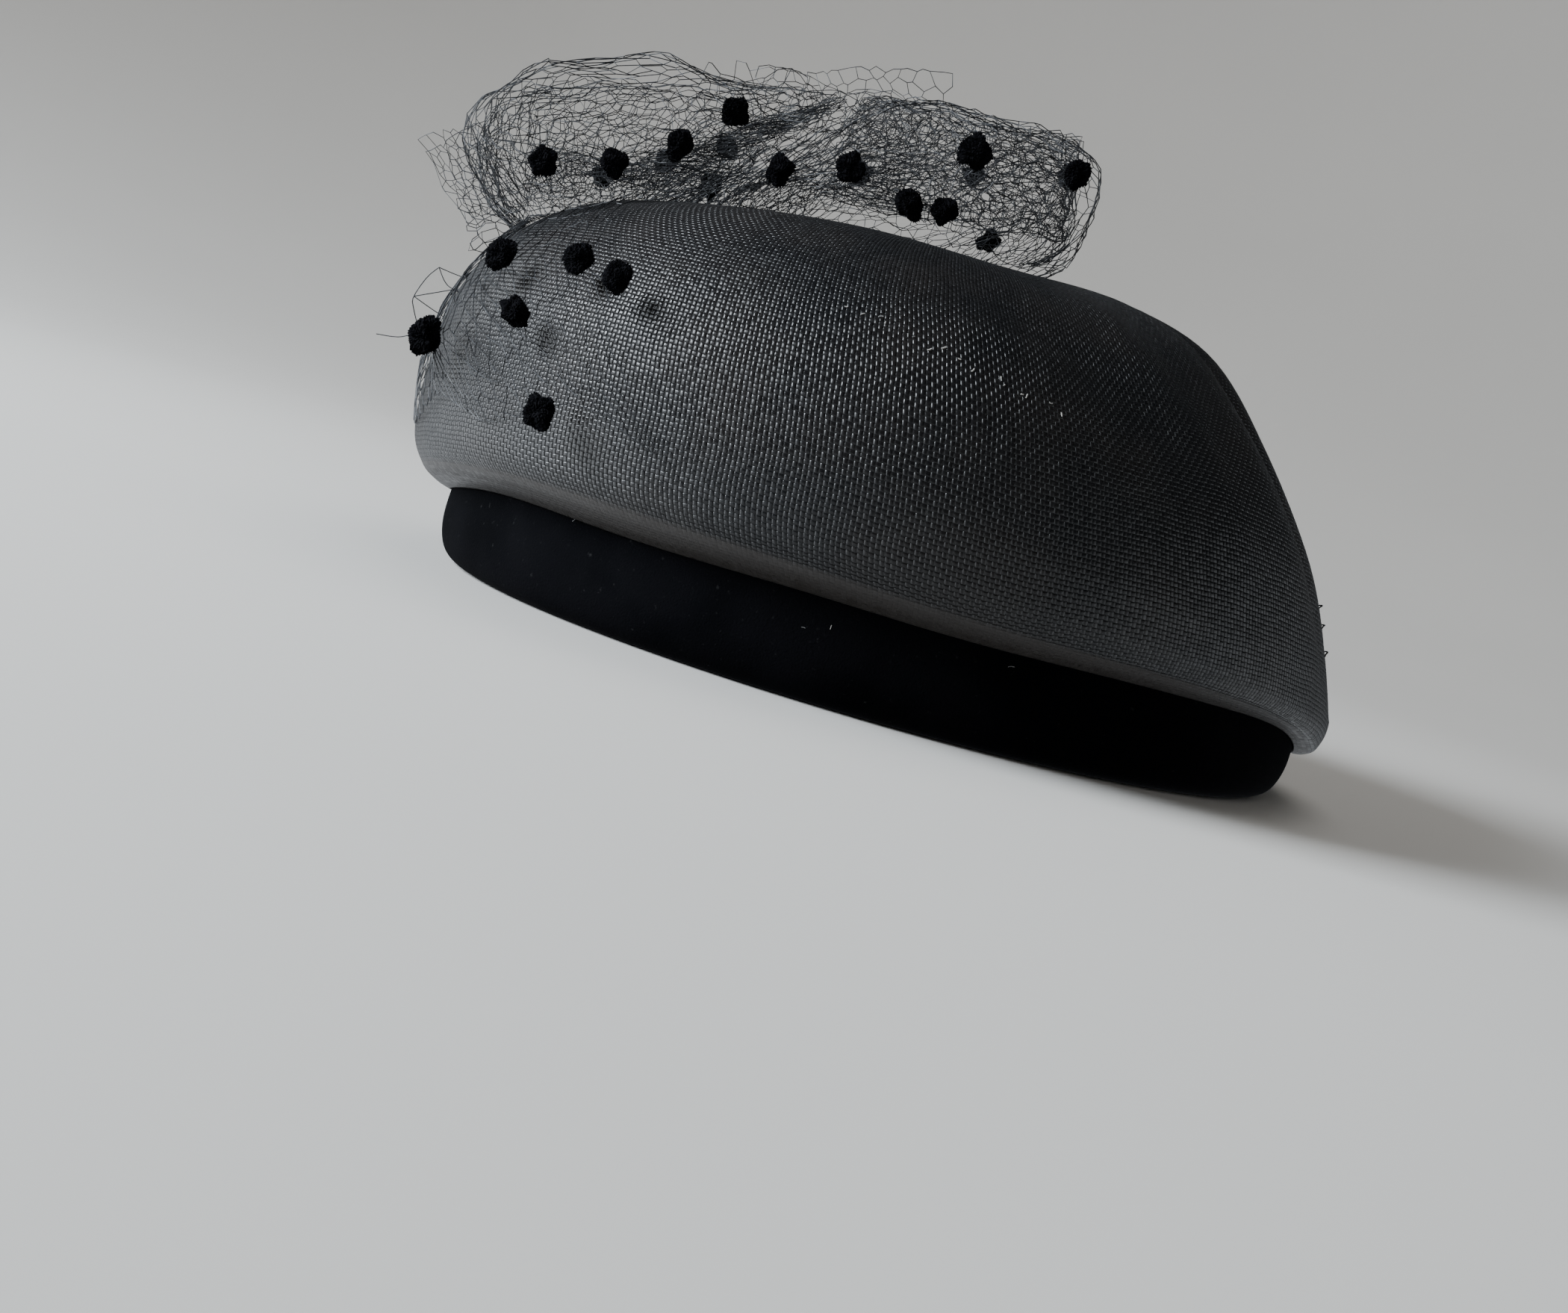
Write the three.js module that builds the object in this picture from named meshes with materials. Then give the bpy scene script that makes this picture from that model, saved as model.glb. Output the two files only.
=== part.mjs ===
// A raffia hat: a soft woven crown turned under at its lower edge, a velvet band round the head opening,
// and a spotted net veil that stands in two puffs on the crown and falls over its front.
// Millimetres, +Z up. The hat's front faces -Y, the wearer's left is +X, and the band stands on Z = 0.
import * as THREE from "three";

// Walls, and the gaps that sewn pieces keep.
const CROWN_WALL = 2.0;
const BAND_WALL = 2.6;
const NET_WALL = 1.2;
const SEAM_GAP = 0.3;
const HEM_GAP = 0.45;
const DOT_GAP = 0.3;

// The head opening is an oval a little fuller at the brow than at the nape.
const BAND_REACH = { front: 97, side: 84.5, back: 93.2 };
const BAND_HEIGHT = 24;
const EGG = -0.03;

// The band's outer face from its rolled foot to its top: height, and inset from BAND_REACH.
const BAND_FACE = [
  { name: "foot", up: 0, inset: 5.2 },
  { name: "roll", up: 0.8, inset: 3.0 },
  { name: "heel", up: 2.8, inset: 1.2 },
  { name: "swell", up: 7.5, inset: 0 },
  { name: "waist", up: 13, inset: 0.3 },
  { name: "neck", up: 18, inset: 0.8 },
  { name: "top", up: BAND_HEIGHT, inset: 1.2 },
];
const FOOT_WIDTH = 2.4;
const FOOT_CURL = 2.2;

// The band's inner face from its top down to the foot, which is turned in.
const BAND_INNER = [
  { name: "top", up: BAND_HEIGHT, inset: BAND_FACE.at(-1).inset + BAND_WALL },
  { name: "waist", up: BAND_HEIGHT / 3, inset: BAND_WALL + 0.4 },
  { name: "curl", up: FOOT_CURL + 1.2, inset: BAND_WALL + 1.0 },
  { name: "turn", up: FOOT_CURL, inset: BAND_FACE[0].inset + FOOT_WIDTH },
  { name: "foot", up: 0, inset: BAND_FACE[0].inset + FOOT_WIDTH },
];

// Heights of the crown's lower lip, which runs level along the sides and dips at the brow and the nape.
const LIP_UP = { front: 13.2, side: 19.4, back: 9.0 };
const LIP_DIP_POWER = 10;
const UPPER_DIP_POWER = 2;
const DIP_LEVEL = 0.4;

// Crown sections above the lip. Reaches run from the middle line, heights from the ground.
const CROWN_SECTIONS = [
  { name: "under", front: 100.4, frontUp: 14.4, side: 87.6, sideUp: 21.4, back: 96.0, backUp: 9.4 },
  { name: "heel", front: 103.9, frontUp: 17.2, side: 91.2, sideUp: 24.6, back: 98.0, backUp: 11.6 },
  { name: "roll", front: 107.2, frontUp: 24.0, side: 94.4, sideUp: 31.0, back: 98.6, backUp: 18.4 },
  { name: "flank", front: 107.8, frontUp: 37.0, side: 96.0, sideUp: 45.0, back: 95.0, backUp: 31.4 },
  { name: "haunch", front: 106.0, frontUp: 54.0, side: 92.5, sideUp: 61.5, back: 86.4, backUp: 49.4 },
  { name: "shoulder", front: 97.6, frontUp: 69.0, side: 81.5, sideUp: 76.0, back: 71.2, backUp: 68.8 },
  { name: "brow", front: 82.0, frontUp: 79.6, side: 63.0, sideUp: 85.2, back: 54.4, backUp: 85.2 },
  { name: "table", front: 58.0, frontUp: 82.4, side: 40.0, sideUp: 88.4, back: 33.0, backUp: 91.0 },
  { name: "crest", front: 32.0, frontUp: 86.2, side: 17.0, sideUp: 89.6, back: 10.0, backUp: 91.6 },
  { name: "top", front: 12.0, frontUp: 89.8, side: 0, sideUp: 89.8, back: -12.0, backUp: 89.8 },
];

// Folds of the crown. Turns are degrees round from the front, levels are shares of the way from lip to top.
// FOLD_FADE sets how soon a fold reaches its depth from its ends.
const FOLD_FADE = 0.7;
const CROWN_FOLDS = [
  { name: "back_tuck", lowTurn: 158, highTurn: 145, low: 0.34, high: 0.8, spread: 4.5, depth: 2.6 },
  { name: "near_lip", lowTurn: 149, highTurn: 135, low: 0.34, high: 0.78, spread: 7, depth: -1 },
  { name: "far_side", lowTurn: 170, highTurn: 166, low: 0.3, high: 0.8, spread: 11, depth: 2.4 },
  { name: "left_hollow", lowTurn: 112, highTurn: 118, low: 0.36, high: 0.74, spread: 16, depth: 1.6 },
  { name: "right_hollow", lowTurn: 238, highTurn: 246, low: 0.34, high: 0.74, spread: 18, depth: 1.8 },
  { name: "left_crease", lowTurn: 128, highTurn: 78, low: 0.52, high: 0.74, spread: 6, depth: 0.7 },
];

// The two net puffs, from the hem on the crown to the top. Columns as for the crown.
const FRONT_PUFF = [
  { name: "hem", front: 98, frontUp: 70, side: 36, sideUp: 82, back: -67, backUp: 85 },
  { name: "tuck", front: 107.5, frontUp: 76, side: 42, sideUp: 86, back: -60.5, backUp: 91.5 },
  { name: "belly", front: 113, frontUp: 87, side: 46, sideUp: 94.5, back: -51, backUp: 100.5 },
  { name: "swell", front: 109, frontUp: 97.5, side: 42, sideUp: 103.5, back: -43.5, backUp: 109 },
  { name: "crest", front: 94, frontUp: 106.5, side: 28, sideUp: 110.5, back: -42, backUp: 115 },
  { name: "top", front: 68, frontUp: 114.6, side: 0, sideUp: 114.6, back: -68, backUp: 114.6 },
];
const BACK_PUFF = [
  { name: "hem", front: 62, frontUp: 86, side: 38, sideUp: 90, back: 14, backUp: 94 },
  { name: "tuck", front: 54.5, frontUp: 93, side: 44, sideUp: 95.5, back: 18.5, backUp: 99 },
  { name: "belly", front: 45, frontUp: 101.5, side: 47, sideUp: 103.5, back: 20.4, backUp: 107.5 },
  { name: "swell", front: 37.5, frontUp: 110, side: 43, sideUp: 111.5, back: 19, backUp: 115.5 },
  { name: "crest", front: 33, frontUp: 117, side: 29, sideUp: 117.5, back: 11.5, backUp: 121 },
  { name: "top", front: 11, frontUp: 121.5, side: 0, sideUp: 121.5, back: -11, backUp: 121.5 },
];

// The net that falls over the crown's front: its span round the crown, its span of levels, which rises at
// both ends, and how far it stands off.
const FALL = { leftTurn: 61, rightTurn: -45, lowLevel: 0.35, highLevel: 0.56, endRise: 0.06 };
const FALL_STAND = { lift: 2.0, billow: 2.4, billows: 3.5 };

// Meshes of the nets: cells across, cells along, and the share of a cell that is open.
const PUFF_CELLS = 8;
const FALL_CELLS = { across: 9, along: 3 };
const OPEN_SHARE = 0.72;

// A puff is a top panel with four side panels laid round it like a pinwheel, each a block of cells. The
// fall is one panel. The inset is what a panel gives up of the net's width beside its neighbour.
const PUFF_PANELS = [
  { name: "top", fromA: 2, toA: 6, fromB: 2, toB: 6, inset: 0.005 },
  { name: "right_front", fromA: 0, toA: 6, fromB: 0, toB: 2, inset: 0.006 },
  { name: "left_front", fromA: 6, toA: 8, fromB: 0, toB: 6, inset: 0.006 },
  { name: "left_back", fromA: 2, toA: 8, fromB: 6, toB: 8, inset: 0.006 },
  { name: "right_back", fromA: 0, toA: 2, fromB: 2, toB: 8, inset: 0.006 },
];
const FALL_PANELS = [
  { name: "fall", fromA: 0, toA: FALL_CELLS.across, fromB: 0, toB: FALL_CELLS.along, inset: 0 },
];
// How far from a panel's edge a dot is sewn, as a share of the net's width.
const SEAT_MARGIN = 0.03;

// Chenille dots on the nets, placed where an eye on the hat's left sees them on the middle plane.
const DOT_RADIUS = 3.2;
const DOT_FLATTENING = 0.86;
const EYE = { distance: 450, elevation: THREE.MathUtils.degToRad(6.5), aimAlong: -17.5, aimUp: -2 };
const DOTS = [
  { net: "front_puff", along: -99, up: 88.5, side: "left" },
  { net: "front_puff", along: -84, up: 92, side: "left" },
  { net: "front_puff", along: -73, up: 96, side: "right" },
  { net: "front_puff", along: -71, up: 100.5, side: "left" },
  { net: "front_puff", along: -61.5, up: 110.5, side: "left" },
  { net: "front_puff", along: -61, up: 103, side: "right" },
  { net: "front_puff", along: -85, up: 89, side: "right" },
  { net: "front_puff", along: -62, up: 94, side: "right" },
  { net: "back_puff", along: -48.5, up: 100.5, side: "left" },
  { net: "back_puff", along: -34, up: 106, side: "left" },
  { net: "back_puff", along: -8, up: 117.5, side: "left" },
  { net: "back_puff", along: -7, up: 112.5, side: "right" },
  { net: "back_puff", along: 14.5, up: 118.5, side: "left" },
  { net: "back_puff", along: -19, up: 101.5, side: "left" },
  { net: "back_puff", along: -11, up: 103, side: "left" },
  { net: "back_puff", along: 0, up: 99.5, side: "right" },
  { net: "back_puff", along: -31.5, up: 105, side: "right" },
  { net: "back_puff", along: 13.5, up: 118, side: "right" },
  { net: "veil", along: -102, up: 66, side: "left" },
  { net: "veil", along: -85.5, up: 70, side: "left" },
  { net: "veil", along: -77, up: 68.5, side: "left" },
  { net: "veil", along: -96, up: 54.5, side: "left" },
  { net: "veil", along: -113.5, up: 44, side: "left" },
  { net: "veil", along: -85, up: 34.5, side: "left" },
  { net: "veil", along: -105, up: 58, side: "right" },
  { net: "veil", along: -94, up: 66, side: "right" },
  { net: "veil", along: -86, up: 52, side: "right" },
  { net: "veil", along: -98, up: 42, side: "right" },
];

// Finishes.
const FINISH = {
  raffia: { color: 0x1b1d22, roughness: 0.38, metalness: 0 },
  velvet: { color: 0x050609, roughness: 0.95, metalness: 0 },
  net: { color: 0x15171b, roughness: 0.7, metalness: 0 },
  chenille: { color: 0x060607, roughness: 1, metalness: 0 },
};

// Divisions of the faceted walls.
const EVEN_TURNS = 54;
const TUCK_TURNS = [138, 142, 145, 147, 149, 151, 153, 155, 158, 162, 166, 170];
const TUCK_SPAN = { from: 136, to: 172 };
const CROWN_LEVELS = 17;
const SURFACE_STEP = 1e-3;
const NET_STEP = 0.02;
const NORMAL_HEM = 0.03;
const DOT_SEARCH_STEPS = 110;
const ABOVE_ALL = 500;
const STEEPEST_SEAT = 0.35;
const DOWN = new THREE.Vector3(0, 0, -1);
const DOT_DETAIL = 1;

const radians = THREE.MathUtils.degToRad;
const evenTurns = [...Array(EVEN_TURNS).keys()].map((k) => (360 * k) / EVEN_TURNS);
const turns = [...evenTurns.filter((d) => d < TUCK_SPAN.from || d > TUCK_SPAN.to), ...TUCK_TURNS]
  .sort((a, b) => a - b)
  .map(radians);

// Triangles of one piece, collected as points and the corners of its faces.
class Facets {
  constructor() {
    this.points = [];
    this.corners = [];
  }

  point(p) {
    return this.points.push(p) - 1;
  }

  triangle(a, b, c) {
    this.corners.push(a, b, c);
  }

  quad(a, b, c, d) {
    this.triangle(a, b, c);
    this.triangle(a, c, d);
  }

  geometry() {
    const made = new THREE.BufferGeometry().setFromPoints(this.points);
    made.setIndex(this.corners);
    made.computeVertexNormals();
    return made;
  }
}

function meshOf(name, geometry, finish) {
  const mesh = new THREE.Mesh(geometry, new THREE.MeshStandardMaterial(finish));
  mesh.name = name;
  return mesh;
}

// A point of an oval: its three reaches, and the turn from the front.
function onOval(reach, turn) {
  const middle = (reach.back - reach.front) / 2;
  const halfLength = (reach.back + reach.front) / 2;
  const x = reach.side * Math.sin(turn) * (1 - EGG * Math.cos(turn));
  return new THREE.Vector2(x, middle - halfLength * Math.cos(turn));
}

// A height that runs smoothly from front to side to back: a higher power keeps the dips at the ends short.
function aroundHeight(up, turn, power = UPPER_DIP_POWER) {
  const end = Math.cos(turn) > 0 ? up.front : up.back;
  return up.side + (end - up.side) * Math.abs(Math.cos(turn)) ** power;
}

// A surface through a table of oval sections: level 0 is the first row, level 1 the last. Even levels are
// spaced by length along the surface, others by row.
function sectionSurface(rows, even, powerAt) {
  const line = (reach, up) => new THREE.SplineCurve(rows.map((r) => new THREE.Vector2(r[reach], r[up])));
  const front = line("front", "frontUp");
  const side = line("side", "sideUp");
  const back = line("back", "backUp");
  return (level, turn) => {
    const [f, s, b] = [front, side, back].map((l) => (even ? l.getPointAt(level) : l.getPoint(level)));
    const flat = onOval({ front: f.x, side: s.x, back: b.x }, turn);
    const up = aroundHeight({ front: f.y, side: s.y, back: b.y }, turn, powerAt(level));
    return new THREE.Vector3(flat.x, flat.y, up);
  };
}

// The outward normal of a surface given by two numbers, from small steps along each.
function normalOf(surface, a, b) {
  const low = Math.max(0, a - SURFACE_STEP);
  const high = Math.min(1, a + SURFACE_STEP);
  const alongA = surface(high, b).sub(surface(low, b));
  const alongB = surface(a, b + SURFACE_STEP).sub(surface(a, b - SURFACE_STEP));
  return alongB.cross(alongA).normalize();
}

// How far a fold pushes the crown in at a level and turn.
function foldDepth(fold, level, turn) {
  const share = (level - fold.low) / (fold.high - fold.low);
  if (share <= 0 || share >= 1) return 0;
  const centre = THREE.MathUtils.lerp(fold.lowTurn, fold.highTurn, share);
  const offset = (THREE.MathUtils.radToDeg(turn) - centre) / fold.spread;
  return fold.depth * Math.sin(Math.PI * share) ** FOLD_FADE * Math.exp(-offset * offset);
}

// The band's inset from its widest oval at a height.
function bandInset(up) {
  const above = BAND_FACE.findIndex((r) => r.up >= up);
  const [low, high] = [BAND_FACE[Math.max(0, above - 1)], BAND_FACE[above]];
  const share = high.up > low.up ? (up - low.up) / (high.up - low.up) : 0;
  return THREE.MathUtils.lerp(low.inset, high.inset, share);
}

function bandPoint(up, inset, turn) {
  const reach = Object.fromEntries(Object.entries(BAND_REACH).map(([k, v]) => [k, v - inset]));
  const flat = onOval(reach, turn);
  return new THREE.Vector3(flat.x, flat.y, up);
}

// The lip's row is where the crown meets the band's outer face.
function lipReach(end) {
  return BAND_REACH[end] - bandInset(LIP_UP[end]) + SEAM_GAP;
}

const lipRow = {
  name: "lip",
  front: lipReach("front"),
  frontUp: LIP_UP.front,
  side: lipReach("side"),
  sideUp: LIP_UP.side,
  back: lipReach("back"),
  backUp: LIP_UP.back,
};
const crownDip = (level) => {
  const share = THREE.MathUtils.smoothstep(level, 0, DIP_LEVEL);
  return THREE.MathUtils.lerp(LIP_DIP_POWER, UPPER_DIP_POWER, share);
};
const smoothCrown = sectionSurface([lipRow, ...CROWN_SECTIONS], false, crownDip);

// The crown's outer face with its folds. At the lip it keeps the seam gap to the band all round.
function crownFace(level, turn) {
  if (level <= 0) {
    const up = aroundHeight(LIP_UP, turn, LIP_DIP_POWER);
    return bandPoint(up, bandInset(up) - SEAM_GAP, turn);
  }
  const depth = CROWN_FOLDS.reduce((sum, fold) => sum + foldDepth(fold, level, turn), 0);
  const point = smoothCrown(level, turn);
  return depth === 0 ? point : point.addScaledVector(normalOf(smoothCrown, level, turn), -depth);
}

// A closed wall swept round the hat: the first and last rows may be single points.
function sweptWall(rows) {
  const facets = new Facets();
  const rings = rows.map((row) => row.map((p) => facets.point(p)));
  for (let k = 0; k + 1 < rings.length; k++) {
    const [low, high] = [rings[k], rings[k + 1]];
    const count = Math.max(low.length, high.length);
    for (let j = 0; j < count; j++) {
      const next = (j + 1) % count;
      if (low.length === 1) facets.triangle(low[0], high[next], high[j]);
      else if (high.length === 1) facets.triangle(low[j], low[next], high[0]);
      else facets.quad(low[j], low[next], high[next], high[j]);
    }
  }
  return facets;
}

function makeCrown() {
  const levels = [...Array(CROWN_LEVELS).keys()].map((k) => k / CROWN_LEVELS);
  const outer = levels.map((level) => turns.map((turn) => crownFace(level, turn)));
  const inner = levels.map((level) =>
    turns.map((turn) => {
      const point = crownFace(level, turn);
      if (level === 0) return point.setZ(point.z + CROWN_WALL);
      return point.addScaledVector(normalOf(smoothCrown, level, turn), -CROWN_WALL);
    }),
  );
  const top = crownFace(1, 0);
  const underTop = top.clone().setZ(top.z - CROWN_WALL);
  const rows = [[underTop], ...inner.reverse(), ...outer, [top]];
  return meshOf("crown", sweptWall(rows).geometry(), FINISH.raffia);
}

function makeBand() {
  const section = [...BAND_FACE, ...BAND_INNER];
  const rows = section.map((s) => turns.map((turn) => bandPoint(s.up, s.inset, turn)));
  const facets = new Facets();
  const rings = rows.map((row) => row.map((p) => facets.point(p)));
  rings.forEach((ring, k) => {
    const above = rings[(k + 1) % rings.length];
    ring.forEach((corner, j) => {
      const next = (j + 1) % ring.length;
      facets.quad(corner, ring[next], above[next], above[j]);
    });
  });
  return meshOf("band", facets.geometry(), FINISH.velvet);
}

// A square laid over a puff without a seam: its corners point front, back, left and right.
function puffFace(rows) {
  const surface = sectionSurface(rows, true, () => UPPER_DIP_POWER);
  return (a, b) => {
    const [u, v] = [2 * a - 1, 2 * b - 1];
    const onDisc = new THREE.Vector2(u * Math.sqrt(1 - (v * v) / 2), v * Math.sqrt(1 - (u * u) / 2));
    const turn = Math.atan2(onDisc.y, onDisc.x) + Math.PI / 4;
    return surface(1 - Math.min(1, onDisc.length()), turn);
  };
}

// The net over the front follows the crown and billows away from it in soft folds.
function fallFace(a, b) {
  const turn = radians(THREE.MathUtils.lerp(FALL.rightTurn, FALL.leftTurn, a));
  const high = FALL.highLevel + FALL.endRise * (2 * a - 1) ** 2;
  const level = THREE.MathUtils.lerp(FALL.lowLevel, high, b);
  const billow = FALL_STAND.billow * (1 - b) * Math.sin(FALL_STAND.billows * Math.PI * a) ** 2;
  const normal = normalOf(smoothCrown, level, turn);
  return smoothCrown(level, turn).addScaledVector(normal, FALL_STAND.lift + billow);
}

// Lifts a net's points clear of the crown, and lays its hem on it.
function seated(face, crown, isHem) {
  const caster = new THREE.Raycaster();
  const clear = NET_WALL / 2 + HEM_GAP;
  return (a, b) => {
    const point = face(a, b);
    caster.set(new THREE.Vector3(point.x, point.y, ABOVE_ALL), DOWN);
    const hit = caster.intersectObject(crown)[0];
    if (!hit) return point;
    const slope = Math.max(STEEPEST_SEAT, hit.face.normal.z);
    const seat = hit.point.z + clear / slope;
    if (isHem(a, b) || point.z < seat) point.z = seat;
    return point;
  };
}

// The outward normal of a net at a place on it.
function netNormal(face, a, b) {
  const [midA, midB] = [a, b].map((share) => THREE.MathUtils.clamp(share, NORMAL_HEM, 1 - NORMAL_HEM));
  const alongA = face(midA + NET_STEP, midB).sub(face(midA - NET_STEP, midB));
  const alongB = face(midA, midB + NET_STEP).sub(face(midA, midB - NET_STEP));
  return alongA.cross(alongB).normalize();
}

// A line of cell corners along a panel, drawn in a little where another panel follows.
function cornerShares(from, to, cells, inset) {
  return [...Array(to - from + 1).keys()].map((k) => {
    const inward = k === 0 && from > 0 ? inset : k === to - from && to < cells ? -inset : 0;
    return (from + k) / cells + inward;
  });
}

// A share kept off the ends of a line of cell corners.
function inside(share, shares) {
  return THREE.MathUtils.clamp(share, shares[0] + SEAT_MARGIN, shares.at(-1) - SEAT_MARGIN);
}

// A pierced panel: cells in rows, each with an opening unless it has a seat, which is then its peak.
function netPanel(name, panel, net, seatIn) {
  const { across, along, face, free } = net;
  const facets = new Facets();
  const skins = [NET_WALL / 2, -NET_WALL / 2].map((offset) => (a, b) =>
    face(a, b).addScaledVector(netNormal(free, a, b), offset),
  );
  const sharesA = cornerShares(panel.fromA, panel.toA, across, panel.inset);
  const sharesB = cornerShares(panel.fromB, panel.toB, along, panel.inset);
  const corners = skins.map((skin) => sharesA.map((a) => sharesB.map((b) => skin(a, b))));
  const knots = corners.map((rows) => rows.map((row) => row.map((point) => facets.point(point))));
  const [wide, deep] = [sharesA.length - 1, sharesB.length - 1];
  const face4 = (ring, skin) => facets.quad(...(skin === 0 ? ring : [...ring].reverse()));
  const [low, high] = [(1 - OPEN_SHARE) / 2, (1 + OPEN_SHARE) / 2];
  for (let i = 0; i < wide; i++) {
    for (let j = 0; j < deep; j++) {
      const outline = knots.map((k) => [k[i][j], k[i + 1][j], k[i + 1][j + 1], k[i][j + 1]]);
      const [cellA, cellB] = [panel.fromA + i, panel.fromB + j];
      const seat = seatIn(cellA, cellB);
      if (seat) {
        skins.forEach((skin, s) => {
          const peak = facets.point(skin(inside(seat.a, sharesA), inside(seat.b, sharesB)));
          const ring = s === 0 ? outline[s] : [...outline[s]].reverse();
          ring.forEach((corner, k) => facets.triangle(corner, ring[(k + 1) % 4], peak));
        });
        continue;
      }
      const opening = corners.map((rows) =>
        [[low, low], [high, low], [high, high], [low, high]].map(([u, v]) => {
          const nearSide = rows[i][j].clone().lerp(rows[i + 1][j], u);
          const farSide = rows[i][j + 1].clone().lerp(rows[i + 1][j + 1], u);
          return facets.point(nearSide.lerp(farSide, v));
        }),
      );
      for (let k = 0; k < 4; k++) {
        const n = (k + 1) % 4;
        outline.forEach((o, skin) => face4([o[k], o[n], opening[skin][n], opening[skin][k]], skin));
        facets.quad(opening[0][k], opening[0][n], opening[1][n], opening[1][k]);
      }
    }
  }
  const edge = [];
  for (let i = 0; i < wide; i++) edge.push([i, 0]);
  for (let j = 0; j < deep; j++) edge.push([wide, j]);
  for (let i = wide; i > 0; i--) edge.push([i, deep]);
  for (let j = deep; j > 0; j--) edge.push([0, j]);
  edge.forEach(([i, j], k) => {
    const [ni, nj] = edge[(k + 1) % edge.length];
    facets.quad(knots[0][ni][nj], knots[0][i][j], knots[1][i][j], knots[1][ni][nj]);
  });
  return meshOf(name, facets.geometry(), FINISH.net);
}

// Where the eye sees a point, on the middle plane.
function seen(point) {
  const [cos, sin] = [Math.cos(EYE.elevation), Math.sin(EYE.elevation)];
  const [dy, dz] = [point.y - EYE.aimAlong, point.z - EYE.aimUp];
  const nearer = EYE.distance / (EYE.distance - (point.x * cos + dz * sin));
  return { along: EYE.aimAlong + dy * nearer, up: EYE.aimUp + ((dz * cos - point.x * sin) * nearer) / cos };
}

// The middle of a dot that sits on a net's outer face, and the way it faces, which is that of the free net.
function dotPose(face, free, a, b) {
  const lift = NET_WALL / 2 + DOT_GAP + DOT_RADIUS * DOT_FLATTENING;
  const normal = netNormal(free, a, b);
  return { normal, middle: face(a, b).addScaledVector(normal, lift) };
}

// Whether a dot at a point clears the crown below it.
function clearOf(crown, point) {
  const caster = new THREE.Raycaster(point.clone().setZ(ABOVE_ALL), DOWN);
  const hit = caster.intersectObject(crown)[0];
  return !hit || (point.z - hit.point.z) * hit.face.normal.z > DOT_RADIUS + DOT_GAP;
}

// Places spread evenly over a net, with where a dot on each one shows.
function netPlaces(free) {
  const steps = [...Array(DOT_SEARCH_STEPS).keys()].map((k) => (k + 0.5) / DOT_SEARCH_STEPS);
  return steps.flatMap((a) =>
    steps.map((b) => {
      const { middle } = dotPose(free, free, a, b);
      return { a, b, middle, side: middle.x > 0 ? "left" : "right", ...seen(middle) };
    }),
  );
}

// The clear place on a net that shows nearest to where a dot does.
function dotPlace(net, dot) {
  const miss = (place) => Math.hypot(place.along - dot.along, place.up - dot.up);
  const nearest = net.places.filter((p) => p.side === dot.side).sort((p, q) => miss(p) - miss(q));
  return nearest.find((place) => net.isClear(place.middle));
}

// A chenille dot, a little flattened against its net.
function makeDot(name, net, place) {
  const { normal, middle } = dotPose(net.face, net.free, place.a, place.b);
  const dot = meshOf(name, new THREE.IcosahedronGeometry(DOT_RADIUS, DOT_DETAIL), FINISH.chenille);
  dot.position.copy(middle);
  dot.quaternion.setFromUnitVectors(new THREE.Vector3(0, 0, 1), normal);
  dot.scale.set(1, 1, DOT_FLATTENING);
  return dot;
}

const crown = makeCrown();
const onHem = (a, b) => Math.min(a, b) === 0 || Math.max(a, b) === 1;
const puffNet = { across: PUFF_CELLS, along: PUFF_CELLS, panels: PUFF_PANELS, round: true };
const nets = {
  front_puff: { ...puffNet, free: puffFace(FRONT_PUFF) },
  back_puff: { ...puffNet, free: puffFace(BACK_PUFF) },
  veil: { ...FALL_CELLS, panels: FALL_PANELS, free: fallFace, face: fallFace },
};
for (const net of Object.values(nets)) {
  net.isClear = net.face ? () => true : (point) => clearOf(crown, point);
  net.face ??= seated(net.free, crown, onHem);
  net.places = netPlaces(net.free);
}
const placed = DOTS.map((dot) => ({ ...dot, place: dotPlace(nets[dot.net], dot) }));

const hat = new THREE.Group();
hat.add(crown, makeBand());
for (const [name, net] of Object.entries(nets)) {
  const places = placed.filter((d) => d.net === name).map((d) => d.place);
  const dotIn = (i, j) =>
    places.find((p) => Math.floor(p.a * net.across) === i && Math.floor(p.b * net.along) === j);
  const isCorner = (i, j) => i % (net.across - 1) === 0 && j % (net.along - 1) === 0;
  const middleOf = (i, j) => ({ a: (i + 0.5) / net.across, b: (j + 0.5) / net.along });
  const seatIn = (i, j) => dotIn(i, j) ?? (net.round && isCorner(i, j) ? middleOf(i, j) : undefined);
  for (const panel of net.panels) hat.add(netPanel(`${name}_${panel.name}`, panel, net, seatIn));
}
placed.forEach((d, k) =>
  hat.add(makeDot(`dot_${String(k + 1).padStart(2, "0")}`, nets[d.net], d.place)),
);

// The origin lies under the middle of the whole hat, veil included.
const middle = new THREE.Box3().setFromObject(hat, true).getCenter(new THREE.Vector3());
hat.position.set(-middle.x, -middle.y, 0);

export default hat;
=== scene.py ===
"""A puffed raffia hat: a woven crown on a velvet band, under a spotted net veil."""

import math
from collections import namedtuple

import bpy
import numpy as np
from mathutils import Matrix, Vector


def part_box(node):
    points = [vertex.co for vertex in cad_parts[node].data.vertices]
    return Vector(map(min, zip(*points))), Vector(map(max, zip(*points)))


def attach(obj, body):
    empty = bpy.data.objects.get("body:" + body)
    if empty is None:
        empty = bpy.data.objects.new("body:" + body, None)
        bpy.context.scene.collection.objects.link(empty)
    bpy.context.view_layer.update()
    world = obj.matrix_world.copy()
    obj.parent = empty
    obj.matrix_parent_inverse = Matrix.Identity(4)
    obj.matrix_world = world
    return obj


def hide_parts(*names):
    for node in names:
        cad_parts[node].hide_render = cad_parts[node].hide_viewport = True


bl_info = {
    "name": "Raffia Hat",
    "version": (1, 0, 0),
    "blender": (4, 5, 0),
    "location": "3D View > Sidebar > Hat",
    "description": "Models a raffia hat with a velvet band and a spotted net veil",
    "category": "Object",
}

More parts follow.
